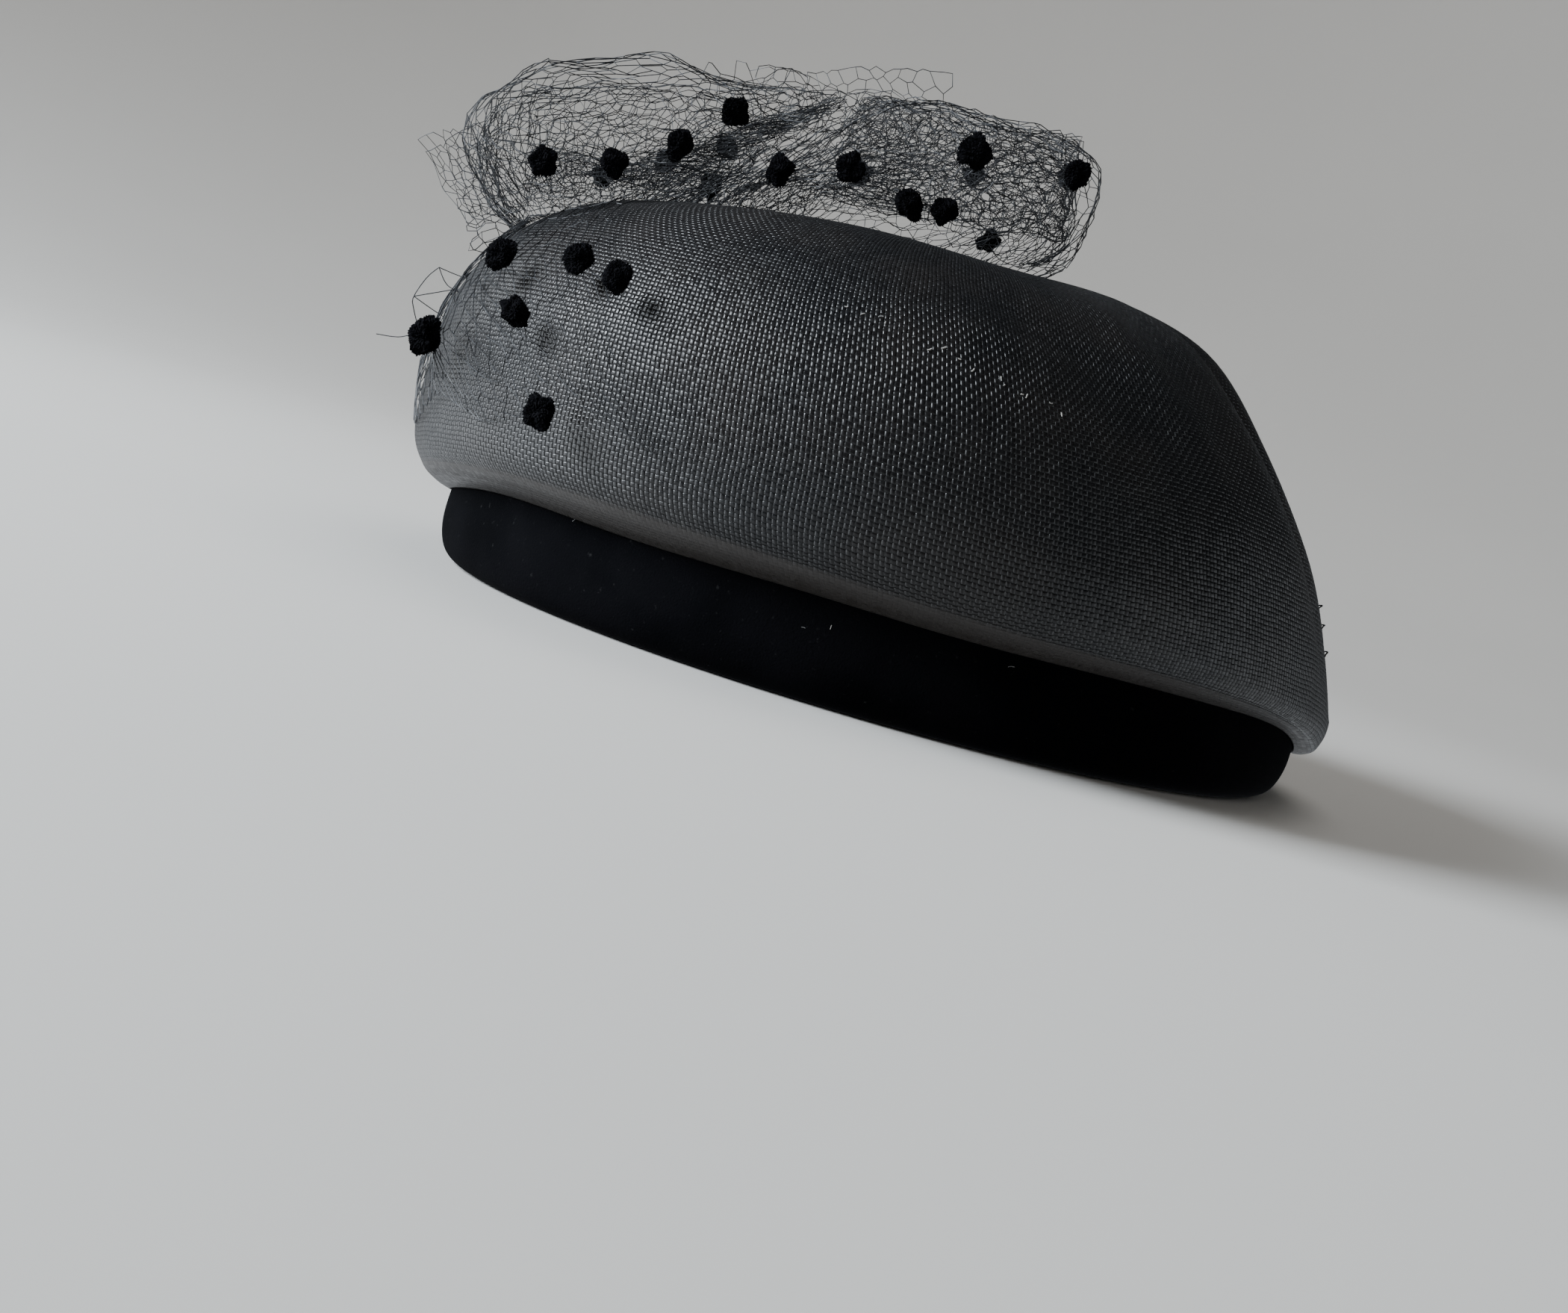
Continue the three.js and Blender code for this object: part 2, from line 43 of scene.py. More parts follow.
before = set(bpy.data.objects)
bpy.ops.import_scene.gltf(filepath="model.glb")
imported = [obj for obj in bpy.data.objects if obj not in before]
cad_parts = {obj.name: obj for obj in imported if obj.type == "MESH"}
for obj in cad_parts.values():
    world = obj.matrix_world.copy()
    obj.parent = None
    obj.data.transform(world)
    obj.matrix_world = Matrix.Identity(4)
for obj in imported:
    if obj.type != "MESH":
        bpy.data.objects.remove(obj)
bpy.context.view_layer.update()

MM = 0.001
SEED = 7

# The hat's form, in millimetres of its drafting frame: front at -Y, wearer's left at +X.
Section = namedtuple("Section", "name front front_up side side_up back back_up")
BandRow = namedtuple("BandRow", "name up inset")
Fold = namedtuple("Fold", "name low_turn high_turn low high spread depth")

BAND_FRONT, BAND_SIDE, BAND_BACK = 97.0, 84.5, 93.2
EGG = -0.03
BAND_ROWS = [
    BandRow("foot inside", 2.2, 7.6),
    BandRow("foot heel", 0.0, 7.6),
    BandRow("foot", 0.0, 5.2),
    BandRow("roll", 0.8, 3.0),
    BandRow("heel", 2.8, 1.2),
    BandRow("swell", 7.5, 0.0),
    BandRow("waist", 13.0, 0.3),
    BandRow("neck", 18.0, 0.8),
    BandRow("top", 24.0, 1.2),
    BandRow("top inside", 24.0, 3.8),
    BandRow("waist inside", 8.0, 3.0),
    BandRow("curl", 3.4, 3.6),
]

LIP_DIP_POWER, UPPER_DIP_POWER, DIP_LEVEL = 10.0, 2.0, 0.4
CROWN_ROWS = [
    Section("lip", 96.98, 13.2, 83.9, 19.4, 93.42, 9.0),
    Section("under", 100.4, 14.4, 87.6, 21.4, 96.0, 9.4),
    Section("heel", 103.9, 17.2, 91.2, 24.6, 98.0, 11.6),
    Section("roll", 107.2, 24.0, 94.4, 31.0, 98.6, 18.4),
    Section("flank", 107.8, 37.0, 96.0, 45.0, 95.0, 31.4),
    Section("haunch", 106.0, 54.0, 92.5, 61.5, 86.4, 49.4),
    Section("shoulder", 97.6, 69.0, 81.5, 76.0, 71.2, 68.8),
    Section("brow", 82.0, 79.6, 63.0, 85.2, 54.4, 85.2),
    Section("table", 58.0, 82.4, 40.0, 88.4, 33.0, 91.0),
    Section("crest", 32.0, 86.2, 17.0, 89.6, 10.0, 91.6),
    Section("top", 12.0, 89.8, 0.0, 89.8, -12.0, 89.8),
]
CROWN_FOLDS = [
    Fold("back tuck", 158, 145, 0.34, 0.8, 4.5, 2.6),
    Fold("tuck crack", 155.5, 142.5, 0.36, 0.78, 1.5, 2.2),
    Fold("near lip", 149, 135, 0.34, 0.78, 7, -1.0),
    Fold("far side", 170, 166, 0.3, 0.8, 11, 2.4),
    Fold("soft ridge", 134, 120, 0.4, 0.74, 5, -0.8),
    Fold("left hollow", 112, 118, 0.36, 0.74, 16, 1.6),
    Fold("right hollow", 238, 246, 0.34, 0.74, 18, 1.8),
    Fold("left crease", 128, 78, 0.52, 0.74, 6, 0.7),
]

# The two puffs of net, from hem to top.
FRONT_PUFF = [
    Section("hem", 98, 70, 36, 82, -67, 85),
    Section("tuck", 107.5, 76, 42, 86, -60.5, 91.5),
    Section("belly", 113, 87, 46, 94.5, -51, 100.5),
    Section("swell", 109, 97.5, 42, 103.5, -43.5, 109),
    Section("crest", 94, 106.5, 28, 110.5, -42, 115),
    Section("top", 68, 114.6, 0, 114.6, -68, 114.6),
]
BACK_PUFF = [
    Section("hem", 62, 86, 38, 90, 14, 94),
    Section("tuck", 54.5, 93, 44, 95.5, 18.5, 99),
    Section("belly", 45, 101.5, 47, 103.5, 20.4, 107.5),
    Section("swell", 37.5, 110, 43, 111.5, 19, 115.5),
    Section("crest", 33, 117, 29, 117.5, 11.5, 121),
    Section("top", 11, 121.5, 0, 121.5, -11, 121.5),
]
PANELS = ("top", "right_front", "left_front", "left_back", "right_back")

# Flaps and folds of net: how far left they lie and swing, and where their corners show on the middle plane.
Flap = namedtuple("Flap", "name left swing top_front top_back foot_front foot_back cells rows leaves cut")
FLAPS = [
    Flap("front corner", 10, 8, (-124.4, 83), (-113, 91), (-108, 70), (-97, 77), 12, 5, 2, False),
    Flap("front foot", 22, 9, (-117, 87), (-90, 91), (-107, 64), (-84, 77), 14, 10, 2, True),
    Flap("far edge", -6, 12, (-58, 119), (-18, 129), (-54, 106), (-12, 116), 26, 5, 1, True),
    Flap("bridge", 24, 16, (-66, 117), (-20, 119), (-70, 98), (-20, 99), 24, 7, 2, True),
    Flap("far bridge", -16, 16, (-64, 118), (-20, 121), (-62, 100), (-22, 102), 22, 6, 1, True),
    Flap("front inner folds", 6, 24, (-104, 103), (-56, 114), (-112, 84), (-50, 94), 26, 8, 2, True),
    Flap("back inner folds", 20, 26, (-34, 119), (13, 123), (-38, 96), (16, 102), 26, 9, 8, True),
    Flap("fold between puffs", 35, 9, (-47, 113), (-37, 118), (-86, 87), (-68, 89), 10, 16, 5, True),
    Flap("gather on crown", 37, 9, (-98, 89), (-36, 100), (-99, 79), (-40, 88), 46, 5, 4, True),
    Flap("back shoulder", 36, 9, (-28, 109), (15, 123), (-30, 101), (14, 115), 26, 4, 2, True),
]
LEAF_STEP, LEAF_REACH = 5.0, 43.0
SOFT_SIZE, SHARP_SIZE, FINE_SIZE = 26, 17, 7

# Single strands of the fall. One with no left lies on the crown.
Stray = namedtuple("Stray", "name left places")
STRAYS = [
    Stray("high edge", 26, ((-113, 58.4), (-108.8, 57.9), (-101, 57.4))),
    Stray("second edge", 27, ((-113, 58.4), (-110.9, 55.7), (-108.2, 54.6), (-99, 53.2))),
    Stray("tie", 26, ((-116.7, 50.9), (-108.7, 54.7))),
    Stray("third edge", 27, ((-116.7, 50.9), (-112.1, 49.3), (-106.7, 47.7), (-96.2, 45.2))),
    Stray("low edge", 28, ((-108.5, 41.6), (-101.4, 40.9), (-96.6, 39.1), (-92.9, 38.8))),
    Stray("dot tail", 24, ((-122.5, 40.8), (-117.4, 41.6), (-113.6, 43.9))),
    Stray("dot hang", 24, ((-113.6, 43.9), (-116.2, 48.6), (-116.7, 50.9), (-115, 55.6), (-113, 58.4))),
    Stray("upper run", None, ((-102, 60.5), (-100.5, 61), (-98, 61.5), (-96, 61.5))),
    Stray("high run", None, ((-103, 59), (-101, 58.5), (-98.5, 57.5), (-93.5, 57))),
    Stray("second run", None, ((-103.5, 58), (-102, 56.5), (-100, 55), (-97.5, 53.5))),
    Stray("third run", None, ((-103, 58), (-102, 55.5), (-101, 53), (-96, 49), (-93.5, 46.5))),
    Stray("cross run", None, ((-104.5, 54.5), (-103, 54), (-98, 51), (-95.5, 49))),
    Stray("fourth run", None, ((-105, 52), (-103, 50), (-98.5, 47), (-95.5, 46), (-92, 45))),
    Stray("fifth run", None, ((-106, 47), (-103.5, 46.5), (-98.5, 43.5), (-96.5, 42), (-94.5, 40))),
    Stray("sixth run", None, ((-106, 46), (-104.5, 44.5), (-103, 46), (-102, 48))),
    Stray("low run", None, ((-106.5, 42), (-102.5, 41), (-99.5, 39.5), (-95.5, 38), (-93, 38.5))),
    Stray("inner run", None, ((-94.5, 52), (-92.5, 50), (-90, 49), (-87, 48), (-84.5, 46.5))),
    Stray("inner tail", None, ((-91, 45), (-89, 43.5), (-86.5, 42.5), (-83.5, 41))),
    Stray("last tail", None, ((-81.5, 43.5), (-79, 41.5), (-76, 40))),
]
STRAY_RADIUS, STRAY_STAND = 0.00011, 0.0007

# The fall's ends, in degrees from the front, and its levels on the crown.
FALL_LEFT, FALL_RIGHT = 61.0, -45.0
FALL_LOW, FALL_HIGH, FALL_END_RISE = 0.35, 0.56, 0.06

# The viewing point, from the hat's left and a little above it.
VIEW_DISTANCE, VIEW_RISE = 450.0, math.radians(6.5)
AIM = np.array([0.0, -17.5, -2.0])
EYE = AIM + VIEW_DISTANCE * np.array([math.cos(VIEW_RISE), 0.0, math.sin(VIEW_RISE)])
ROLL = math.radians(16.3)
LENS, SENSOR = 46.9, 36.0

BAND_MIDDLE = (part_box("band")[0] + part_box("band")[1]) / 2
SHIFT = np.array([BAND_MIDDLE.x / MM, BAND_MIDDLE.y / MM - (BAND_BACK - BAND_FRONT) / 2, 0.0])

# A line of worn straw, and places where lint lies on the velvet.
WORN_FROM, WORN_TO, WORN_FLECKS = np.array([-25.0, 75.6]), np.array([26.0, 65.4]), 16
LINT = ((-47.0, 15.9), (-15.2, 5.4), (-9.4, 7.1), (31.0, 10.0), (-70.0, 14.0))

# Soft lamps: places in metres, power in watts, spread in degrees, and whether the straw mirrors them.
Lamp = namedtuple("Lamp", "name place target wide tall power colour spread mirrored")
LAMPS = [
    Lamp("window", (0.30, -1.00, 0.55), (0.0, -0.02, 0.05), 0.55, 0.6, 24.5, (0.86, 0.93, 1.0), 130, True),
    Lamp("room", (1.0, 0.4, 1.6), (0.0, 0.0, 0.05), 1.0, 0.8, 3.0, (1.0, 0.95, 0.9), 180, False),
    Lamp("backdrop", (0.1, -0.85, 1.15), (0.1, -1.8, 0.75), 1.2, 0.8, 9.0, (0.95, 0.97, 1.0), 180, False),
    Lamp("ceiling", (-0.5, 0.1, 1.5), (-0.8, 0.0, 0.1), 1.2, 1.2, 11.0, (1.0, 0.98, 0.96), 180, False),
]


class HatSizes(bpy.types.PropertyGroup):
    """Sizes of the hat's cloth, net and dots"""

    straw_pitch: bpy.props.FloatProperty(
        name="Straw Pitch",
        description="Distance between neighbouring straws of the weave",
        default=0.00092,
        unit="LENGTH",
        subtype="DISTANCE",
    )
    crown_wall: bpy.props.FloatProperty(
        name="Crown Wall",
        description="Thickness of the woven crown",
        default=0.0016,
        unit="LENGTH",
        subtype="DISTANCE",
    )
    net_cell: bpy.props.FloatProperty(
        name="Net Cell",
        description="Width of a cell of the veil's net",
        default=0.0044,
        unit="LENGTH",
        subtype="DISTANCE",
    )
    net_strand: bpy.props.FloatProperty(
        name="Net Strand",
        description="Thickness of a strand of the net",
        default=0.0002,
        unit="LENGTH",
        subtype="DISTANCE",
    )
    dot_fuzz: bpy.props.FloatProperty(
        name="Dot Fuzz",
        description="How far a dot's pile stands out",
        default=0.0006,
        unit="LENGTH",
        subtype="DISTANCE",
    )


class HatColours(bpy.types.PropertyGroup):
    """Colours of the hat's cloth, net, dots and floor"""

    straw: bpy.props.FloatVectorProperty(
        name="Straw", description="Black straw of the crown", subtype="COLOR", size=4,
        default=(0.005, 0.0053, 0.0062, 1.0),
    )
    straw_brown: bpy.props.FloatVectorProperty(
        name="Faded Straw", description="Browner, sun-faded straw", subtype="COLOR", size=4,
        default=(0.015, 0.0125, 0.0115, 1.0),
    )
    # Partly painted bounce light: the turned edge is browner, smoother straw, and its colour is also lighter
    # to stand for light bounced up from below.
    turned_edge_and_bounce: bpy.props.FloatVectorProperty(
        name="Turned Edge", description="Smooth straw of the turned-under edge", subtype="COLOR", size=4,
        default=(0.024, 0.021, 0.019, 1.0),
    )
    velvet: bpy.props.FloatVectorProperty(
        name="Velvet", description="Pile of the band", subtype="COLOR", size=4,
        default=(0.0009, 0.001, 0.0014, 1.0),
    )
    net: bpy.props.FloatVectorProperty(
        name="Net", description="Strands of the veil", subtype="COLOR", size=4,
        default=(0.007, 0.0073, 0.0084, 1.0),
    )
    chenille: bpy.props.FloatVectorProperty(
        name="Chenille", description="Pile of the dots", subtype="COLOR", size=4,
        default=(0.0015, 0.0015, 0.002, 1.0),
    )
    floor: bpy.props.FloatVectorProperty(
        name="Floor", description="Pale floor and backdrop", subtype="COLOR", size=4,
        default=(0.48, 0.47, 0.45, 1.0),
    )


# Forms.


def spline(knots, share):
    """Points at shares of the way along a smooth line through knots."""
    at = np.clip(share, 0, 1) * (len(knots) - 1)
    k = np.minimum(at.astype(int), len(knots) - 2)
    w = (at - k)[:, None]
    before, here = knots[np.maximum(k - 1, 0)], knots[k]
    after, beyond = knots[k + 1], knots[np.minimum(k + 2, len(knots) - 1)]
    leave, reach = (after - before) / 2, (beyond - here) / 2
    cubic = 2 * here - 2 * after + leave + reach
    square = -3 * here + 3 * after - 2 * leave - reach
    return ((cubic * w + square) * w + leave) * w + here


def even_share(knots, share):
    """Shares along a line by its length, as shares by its knots."""
    steps = np.linspace(0, 1, 201)
    line = spline(knots, steps)
    length = np.concatenate([[0], np.cumsum(np.linalg.norm(np.diff(line, axis=0), axis=1))])
    return np.interp(share, length / length[-1], steps)


def oval(front, side, back, turn):
    """X and Y of a point of an oval, by its reaches and the turn from the front."""
    x = side * np.sin(turn) * (1 - EGG * np.cos(turn))
    y = (back - front) / 2 - (back + front) / 2 * np.cos(turn)
    return x, y


def section_point(rows, level, turn, power, even=False):
    """A point of the surface through a table of sections."""
    knots = np.array([row[1:] for row in rows], float)
    lines = [knots[:, k : k + 2] for k in (0, 2, 4)]
    shares = [even_share(line, level) if even else level for line in lines]
    front, side, back = (spline(line, share) for line, share in zip(lines, shares))
    x, y = oval(front[:, 0], side[:, 0], back[:, 0], turn)
    end = np.where(np.cos(turn) > 0, front[:, 1], back[:, 1])
    z = side[:, 1] + (end - side[:, 1]) * np.abs(np.cos(turn)) ** power
    return np.stack([x, y, z], axis=1)


def smooth_crown(level, turn):
    """The crown before its folds."""
    share = np.clip(level / DIP_LEVEL, 0, 1)
    share = share * share * (3 - 2 * share)
    power = LIP_DIP_POWER + (UPPER_DIP_POWER - LIP_DIP_POWER) * share
    return section_point(CROWN_ROWS, level, turn, power)


def normals_of(surface, a, b, step=1e-3):
    """Outward normals of a surface of two numbers."""
    along_a = surface(np.minimum(a + step, 1), b) - surface(np.maximum(a - step, 0), b)
    along_b = surface(a, b + step) - surface(a, b - step)
    normal = np.cross(along_b, along_a)
    length = np.linalg.norm(normal, axis=1, keepdims=True)
    return normal / np.maximum(length, 1e-9)


def fold_depth(level, turn, folds=CROWN_FOLDS):
    """How far the folds push the crown in."""
    degrees = np.degrees(turn) % 360
    depth = np.zeros_like(level)
    for fold in folds:
        share = (level - fold.low) / (fold.high - fold.low)
        inside = (share > 0) & (share < 1)
        centre = fold.low_turn + (fold.high_turn - fold.low_turn) * share
        fade = np.sin(np.pi * np.clip(share, 0, 1)) ** 0.7
        bell = np.exp(-(((degrees - centre) / fold.spread) ** 2))
        depth += np.where(inside, fold.depth * fade * bell, 0)
    return depth


def crown_face(level, turn):
    """The crown's outer face with its folds."""
    normal = normals_of(smooth_crown, level, turn)
    return smooth_crown(level, turn) - normal * fold_depth(level, turn)[:, None]


def band_point(up, inset, turn):
    """A point of the band at a height and an inset from its widest oval."""
    x, y = oval(BAND_FRONT - inset, BAND_SIDE - inset, BAND_BACK - inset, turn)
    return np.stack([x, y, np.broadcast_to(up, x.shape)], axis=1)


def puff_face(rows):
    """A square laid over a puff: its corners point front, back, left and right."""

    def face(a, b):
        u, v = 2 * a - 1, 2 * b - 1
        x = u * np.sqrt(np.maximum(1 - v * v / 2, 0))
        y = v * np.sqrt(np.maximum(1 - u * u / 2, 0))
        turn = np.arctan2(y, x) + np.pi / 4
        level = 1 - np.minimum(1, np.hypot(x, y))
        return section_point(rows, level, turn, 2.0, even=True)

    return face


def waves(points, size, seed):
    """A smooth wavering number from -1 to 1 at each point, by a few crossing ripples."""
    rng = np.random.default_rng(seed)
    total = np.zeros(len(points))
    for _ in range(6):
        way = rng.normal(size=3)
        way /= np.linalg.norm(way)
        phase = points @ way * (2 * np.pi / (size * rng.uniform(0.7, 1.6))) + rng.uniform(0, 6.3)
        total += np.sin(phase)
    return total / 6


# Making and finishing pieces.


def deselect_all():
    """Leaves nothing selected, in object mode."""
    if bpy.context.object and bpy.context.object.mode != "OBJECT":
        bpy.ops.object.mode_set(mode="OBJECT")
    bpy.ops.object.select_all(action="DESELECT")


def pick(*pieces):
    """Selects pieces alone and makes the first one active."""
    deselect_all()
    for piece in pieces:
        piece.select_set(True)
    bpy.context.view_layer.objects.active = pieces[0]


def points_of(piece):
    """A mesh's points as rows."""
    flat = np.empty(len(piece.data.vertices) * 3)
    piece.data.vertices.foreach_get("co", flat)
    return flat.reshape(-1, 3)


def set_points(piece, points):
    """Moves a mesh's points to rows of places in metres."""
    piece.data.vertices.foreach_set("co", np.ascontiguousarray(points, float).ravel())
    piece.data.update()


def settled(points):
    """Drafting millimetres as metres of the shared frame."""
    return (points + SHIFT) * MM


def seen_at(place, left):
    """The point so far left of the middle plane that shows where a place on that plane does."""
    middle = np.array([0.0, *place])
    return middle + (EYE - middle) * (left / EYE[0])


def seen_on(piece, place):
    """The point of a piece, and its normal, that shows where a place on the middle plane does."""
    eye, through = Vector(settled(EYE)), Vector(settled(np.array([0.0, *place])))
    hit, point, normal, _ = piece.ray_cast(eye, through - eye)
    if not hit:
        raise RuntimeError(f"{piece.name} isn't seen at {place}")
    return np.array(point), np.array(normal)


def grid_piece(name, across, along):
    """A grid primitive, with the column and row of each of its points."""
    deselect_all()
    bpy.ops.mesh.primitive_grid_add(x_subdivisions=across, y_subdivisions=along, size=1)
    piece = bpy.context.object
    piece.name = name
    at = points_of(piece)
    columns = np.rint((at[:, 0] + 0.5) * across).astype(int)
    rows = np.rint((at[:, 1] + 0.5) * along).astype(int)
    return piece, columns, rows


def apply_modifier(piece, kind, **settings):
    """Adds a modifier with settings and applies it."""
    pick(piece)
    bpy.ops.object.modifier_add(type=kind)
    modifier = piece.modifiers[-1]
    for key, value in settings.items():
        setattr(modifier, key, value)
    bpy.ops.object.modifier_apply(modifier=modifier.name)


def weld(piece, distance=1e-6):
    """Merges a piece's doubled points and turns its faces outwards."""
    pick(piece)
    bpy.ops.object.mode_set(mode="EDIT")
    bpy.ops.mesh.select_all(action="SELECT")
    bpy.ops.mesh.remove_doubles(threshold=distance)
    bpy.ops.mesh.normals_make_consistent(inside=False)
    bpy.ops.object.mode_set(mode="OBJECT")


def finish_piece(piece, material, slot, *nodes):
    """Gives a piece its finish, its body and the nodes that it stands for."""
    piece.data.materials.clear()
    piece.data.materials.append(material)
    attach(piece, "root")
    if nodes:
        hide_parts(*nodes)


def join(name, pieces):
    """Joins pieces to one under a new name."""
    pick(*pieces)
    if len(pieces) > 1:
        bpy.ops.object.join()
    bpy.context.object.name = name
    return bpy.context.object


def thread_piece(name, lines, radius):
    """Round threads along lines of points in metres, as one mesh."""
    curve = bpy.data.curves.new(name, "CURVE")
    curve.dimensions = "3D"
    curve.bevel_depth = radius
    curve.bevel_resolution = 1
    curve.use_fill_caps = True
    for line in lines:
        spline_data = curve.splines.new("POLY")
        spline_data.points.add(len(line) - 1)
        for point, place in zip(spline_data.points, line):
            point.co = (*place, 1.0)
    piece = bpy.data.objects.new(name, curve)
    bpy.context.scene.collection.objects.link(piece)
    pick(piece)
    bpy.ops.object.convert(target="MESH")
    return bpy.context.object


# The veil's net.


def puff_nodes(puff):
    """Names of the panels of a puff."""
    return [f"{puff}_{panel}" for panel in PANELS]


def puff_middle(puff):
    """The middle of a puff, in metres."""
    boxes = [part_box(node) for node in puff_nodes(puff)]
    return (np.min([low for low, _ in boxes], axis=0) + np.max([high for _, high in boxes], axis=0)) / 2


def creases(points, size, seed):
    """A number from -1 to 1 at each point that peaks in sharp, crossing creases."""
    rng = np.random.default_rng(seed)
    total = np.zeros(len(points))
    for _ in range(4):
        way = rng.normal(size=3)
        way /= np.linalg.norm(way)
        phase = points @ way * (np.pi / (size * rng.uniform(0.7, 1.5))) + rng.uniform(0, 3)
        total += 1 - 2 * np.abs(np.sin(phase))
    return total / 4


def ripple(points, seed, soft, sharp):
    """Soft waves and sharp creases of a net that is bunched up, as moves in millimetres."""
    ways = [
        waves(points, SOFT_SIZE, seed + k) * soft + creases(points, SHARP_SIZE, seed + 9 + k) * sharp
        for k in range(3)
    ]
    fine = [creases(points, FINE_SIZE, seed + 20 + k) * sharp / 3 for k in range(3)]
    return np.stack(ways, axis=1) + np.stack(fine, axis=1)


def dot_middles(numbers):
    """Middles of dots in metres, by their numbers."""
    boxes = [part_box(f"dot_{k:02d}") for k in numbers]
    return np.array([(low + high) / 2 for low, high in boxes])


def pull_to_dots(points, middles, reach=0.0045, share=0.75):
    """Draws a net's points up to the dots that are sewn to it."""
    for middle in middles:
        away = middle - points
        weight = np.exp(-((np.linalg.norm(away, axis=1) / reach) ** 2)) * share
        points = points + away * weight[:, None]
    return points


def trim_part_cells(piece):
    """Takes out the part cells at a net's edges, so that whole cells scallop them."""
    bpy.ops.mesh.select_mode(type="FACE")
    bpy.ops.mesh.select_all(action="DESELECT")
    bpy.ops.object.mode_set(mode="OBJECT")
    for face in piece.data.polygons:
        face.select = len(face.vertices) < 6
    bpy.ops.object.mode_set(mode="EDIT")
    bpy.ops.mesh.delete(type="FACE")


def net_piece(name, across, along, place, strand, seed, jitter=0.12, cut=False):
    """A net of six-sided cells: a grid whose every other rung is taken out, in strands."""
    piece, columns, rows = grid_piece(name, across, along)
    rng = np.random.default_rng(seed)
    lift = np.where((columns + rows) % 2 == 0, 1 / 6, -1 / 6)
    a = (columns + rng.uniform(-jitter, jitter, len(columns)) * 2) / across
    b = (rows + lift + rng.uniform(-jitter, jitter, len(rows))) / along
    set_points(piece, place(np.clip(a, 0, 1), np.clip(b, 0, 1)))
    pick(piece)
    bpy.ops.object.mode_set(mode="EDIT")
    bpy.ops.mesh.select_mode(type="EDGE")
    bpy.ops.mesh.select_all(action="DESELECT")
    bpy.ops.object.mode_set(mode="OBJECT")
    for edge in piece.data.edges:
        one, two = edge.vertices
        rung = columns[one] == columns[two]
        inside = 0 < columns[one] < across
        edge.select = bool(rung and inside and (columns[one] + min(rows[one], rows[two])) % 2)
    bpy.ops.object.mode_set(mode="EDIT")
    bpy.ops.mesh.dissolve_edges(use_verts=False)
    if cut:
        trim_part_cells(piece)
    bpy.ops.object.mode_set(mode="OBJECT")
    apply_modifier(piece, "WIREFRAME", thickness=strand, use_even_offset=False, use_boundary=True)
    return piece


# Finishes.


class Weaver:
    """Adds and links the nodes of one node tree."""

    def __init__(self, tree):
        self.tree = tree

    def node(self, kind, **settings):
        made = self.tree.nodes.new(kind)
        for key, value in settings.items():
            setattr(made, key, value)
        return made

    def link(self, source, target):
        self.tree.links.new(source, target)

    def feed(self, socket, value):
        if isinstance(value, bpy.types.NodeSocket):
            self.link(value, socket)
        else:
            socket.default_value = value

    def math(self, operation, *values, clamp=False):
        made = self.node("ShaderNodeMath", operation=operation, use_clamp=clamp)
        for socket, value in zip(made.inputs, values):
            self.feed(socket, value)
        return made.outputs[0]

    def mix(self, share, one, two):
        made = self.node("ShaderNodeMix", data_type="RGBA")
        for socket, value in ((made.inputs[0], share), (made.inputs[6], one), (made.inputs[7], two)):
            self.feed(socket, value)
        return made.outputs[2]

    def blend(self, share, one, two):
        made = self.node("ShaderNodeMix", data_type="FLOAT")
        for socket, value in ((made.inputs[0], share), (made.inputs[2], one), (made.inputs[3], two)):
            self.feed(socket, value)
        return made.outputs[0]

    def noise(self, vector, scale, detail=2.0, roughness=0.5):
        made = self.node("ShaderNodeTexNoise")
        self.link(vector, made.inputs["Vector"])
        made.inputs["Scale"].default_value = scale
        made.inputs["Detail"].default_value = detail
        made.inputs["Roughness"].default_value = roughness
        return made.outputs["Fac"]

    def ramp(self, value, low, high):
        made = self.node("ShaderNodeMapRange", interpolation_type="SMOOTHSTEP")
        self.link(value, made.inputs["Value"])
        made.inputs["From Min"].default_value = low
        made.inputs["From Max"].default_value = high
        return made.outputs["Result"]


def new_group(name, inputs, outputs):
    """A shader node group with named sockets."""
    group = bpy.data.node_groups.new(name, "ShaderNodeTree")
    for title, kind, default in inputs:
        socket = group.interface.new_socket(title, in_out="INPUT", socket_type=kind)
        if default is not None:
            socket.default_value = default
    for title, kind in outputs:
        group.interface.new_socket(title, in_out="OUTPUT", socket_type=kind)
    weaver = Weaver(group)
    return group, weaver, weaver.node("NodeGroupInput"), weaver.node("NodeGroupOutput")


